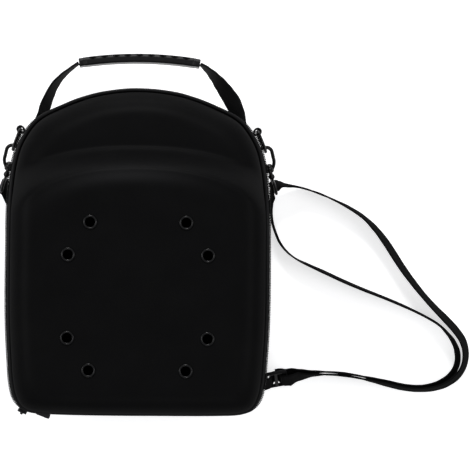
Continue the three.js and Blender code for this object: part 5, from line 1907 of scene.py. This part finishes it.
    def end_loop(self, bench: Bench) -> bpy.types.Object:
        """The strap's end sewn back round the left eye's bar, with a crossed box of stitches."""
        inner = self.left.eye_wire + GAP + 0.3
        r, h = inner + self.thickness / 2, self.thickness / 2
        open_way = math.degrees(math.asin(h / r))
        upper = np.array([[self.block - 0.1, h], [self.block * 0.6, h], [r + 1.6, h]])
        around = arc(0, 0, r, open_way + 10, 350 - open_way, 16)
        flat = spline(np.vstack([upper, around, (upper * (1, -1))[::-1]]), 5)
        line = in_plane(flat, self.loop_axes, self.left.bar_middle)
        bar = self.loop_axes[2]
        band = sweep(line, bar, np.cross(tangents(line), bar),
                     band_outline(self.width, self.thickness))
        plane = np.array([self.loop_axes[0], bar, self.loop_axes[1]])
        near, far, edge = 5.2, 12.6, 7.8
        box = [(near, -edge), (far, -edge), (far, edge), (near, edge), (near, -edge), (far, edge)]
        cross = [(near, edge), (far, -edge)]
        seams = [dots(p, plane, self.left.bar_middle, self.thickness + 0.02, side)
                 for p in (box, cross) for side in (-1.0, 1.0)]
        return bench.piece("strap_end_loop_webbing", [band, *seams], STRAP_WEB)

    def buckle(self, bench: Bench) -> bpy.types.Object:
        """A moulded frame with round corners and a middle bar, ribbed on its faces."""
        x, y = (self.buckle_length - self.bar) / 2, (self.buckle_width - self.end) / 2
        flat = even(box_outline(x, y, 2.4, 8), 120, True)
        axes, place = self.buckle_axes, self.buckle_place
        line = in_plane(flat, axes, place)
        side = np.cross(tangents(line, True), axes[2])
        on_bar = np.abs(flat[:, 0]) > x - 1.2
        wide = np.where(on_bar, self.bar, self.end) / self.bar
        section = box_outline(self.bar / 2, self.buckle_thickness / 2, 1.0, 4)
        frame = sweep(line, side, axes[2], section, True, np.stack([wide, np.ones(120)], -1))
        span = np.linspace(-y, y, 24)[:, None]
        middle = sweep(place + span * axes[1], axes[0], axes[2], section * (1, 0.92))
        ribs = [slab(box_outline(0.35, 8.5, 0.3, 3) + (s * (x + o), 0.0), self.buckle_thickness / 2
                     - 0.1, self.buckle_thickness / 2 + 0.22, 0.12, axes, place)
                for s in (-1, 1) for o in (-0.7, 0.7)]
        return bench.piece("slide_buckle_frame", [frame, middle, *ribs], BUCKLE_PLASTIC)


# ---- Studio ----

@dataclass(frozen=True)
class Studio:
    """Camera, soft lights and a pale floor."""

    camera_height: float = 2.5
    over: tuple[float, float] = (-0.00045, -0.0082)
    seen_width: float = 0.4432
    seen_height: float = 0.066
    pixels: float = 470.0
    right_of_axis: float = 97.0
    above_axis: float = 10.0
    roll: float = 0.5
    sensor: float = 36.0
    far: float = 20.0
    aim: tuple[float, float, float] = (0.03, -0.02, 0.08)
    floor: Color = (0.9, 0.9, 0.9)
    floor_half: float = 6.0
    glow: float = 0.62
    sky: Color = (0.95, 0.96, 1.0)
    sky_strength: float = 0.4

    def camera(self) -> None:
        """A long lens straight above the case, shifted so that the strap comes into view.

        The focal length is the sensor's width times the distance over the width seen there.
        """
        data = bpy.data.cameras.new("above")
        data.sensor_width = self.sensor
        data.lens = self.sensor * (self.camera_height - self.seen_height) / self.seen_width
        data.shift_x = self.right_of_axis / self.pixels
        data.shift_y = self.above_axis / self.pixels
        data.clip_end = self.far
        camera = bpy.data.objects.new("above", data)
        camera.location = (*self.over, self.camera_height)
        camera.rotation_euler = (0.0, 0.0, math.radians(self.roll))
        bpy.context.scene.collection.objects.link(camera)
        bpy.context.scene.camera = camera
        log.info("camera above the case, %.0f mm lens", data.lens)

    def lights(self) -> None:
        """Soft panels: one high behind the handle, one low, one at each side, and a fill."""
        panels = (("key", (-0.05, 2.0, 1.75), 0.5, 24.0), ("rear", (0.0, 2.6, 0.45), 1.0, 16.0),
                  ("left", (-2.0, 0.3, 2.2), 1.5, 24.0), ("right", (2.1, 0.1, 2.4), 1.5, 16.0),
                  ("fill", (0.2, -2.1, 2.2), 1.5, 8.0))
        for name, place, size, power in panels:
            data = bpy.data.lights.new(name, "AREA")
            data.shape = "DISK"
            data.size = size
            data.energy = power
            lamp = bpy.data.objects.new(name, data)
            lamp.location = place
            aim = Vector(self.aim) - Vector(place)
            lamp.rotation_euler = aim.to_track_quat("-Z", "Y").to_euler()
            bpy.context.scene.collection.objects.link(lamp)

    def room(self) -> None:
        """A pale floor, lit from below like a light table, under a pale sky."""
        world = bpy.data.worlds.new("pale_room")
        world.use_nodes = True
        background = world.node_tree.nodes["Background"]
        background.inputs["Color"].default_value = (*self.sky, 1.0)
        background.inputs["Strength"].default_value = self.sky_strength
        bpy.context.scene.world = world
        mesh = bpy.data.meshes.new("floor")
        half = self.floor_half
        mesh.from_pydata([(-half, -half, 0), (half, -half, 0), (half, half, 0), (-half, half, 0)],
                         [], [(0, 1, 2, 3)])
        floor = bpy.data.objects.new("floor", mesh)
        bpy.context.scene.collection.objects.link(floor)
        paper = Skin("floor_paper", {"Roughness": 0.85, "Specular IOR Level": 0.2,
                                     "Emission Color": (1.0, 1.0, 1.0),
                                     "Emission Strength": self.glow})
        mottle = paper.noise(0.4, 2.0)
        paper.wear("Base Color", paper.mix(mottle, self.floor, tuple(0.99 * c for c in self.floor)))
        mesh.materials.append(paper.material)

    def build(self) -> None:
        """Sets up the camera, the lights and the room."""
        self.camera()
        self.lights()
        self.room()
        settings = bpy.context.scene.view_settings
        settings.view_transform = "Standard"
        settings.look = "None"


def main() -> None:
    """Builds the studio and the case."""
    logging.basicConfig(level=logging.INFO, format="%(name)s: %(message)s", stream=sys.stdout)
    bench, outline = Bench(), CaseOutline()
    Studio().build()
    left, right = HookSet(Side.LEFT, outline), HookSet(Side.RIGHT, outline)
    ShoulderStrap(outline, left, right).build(bench)
    vents = Vents(outline)
    Shells(outline).build(bench, vents)
    vents.build(bench)
    Rim(outline).build(bench)
    Handle(outline).build(bench)
    left.build(bench)
    right.build(bench)


if __name__ == "__main__":
    main()
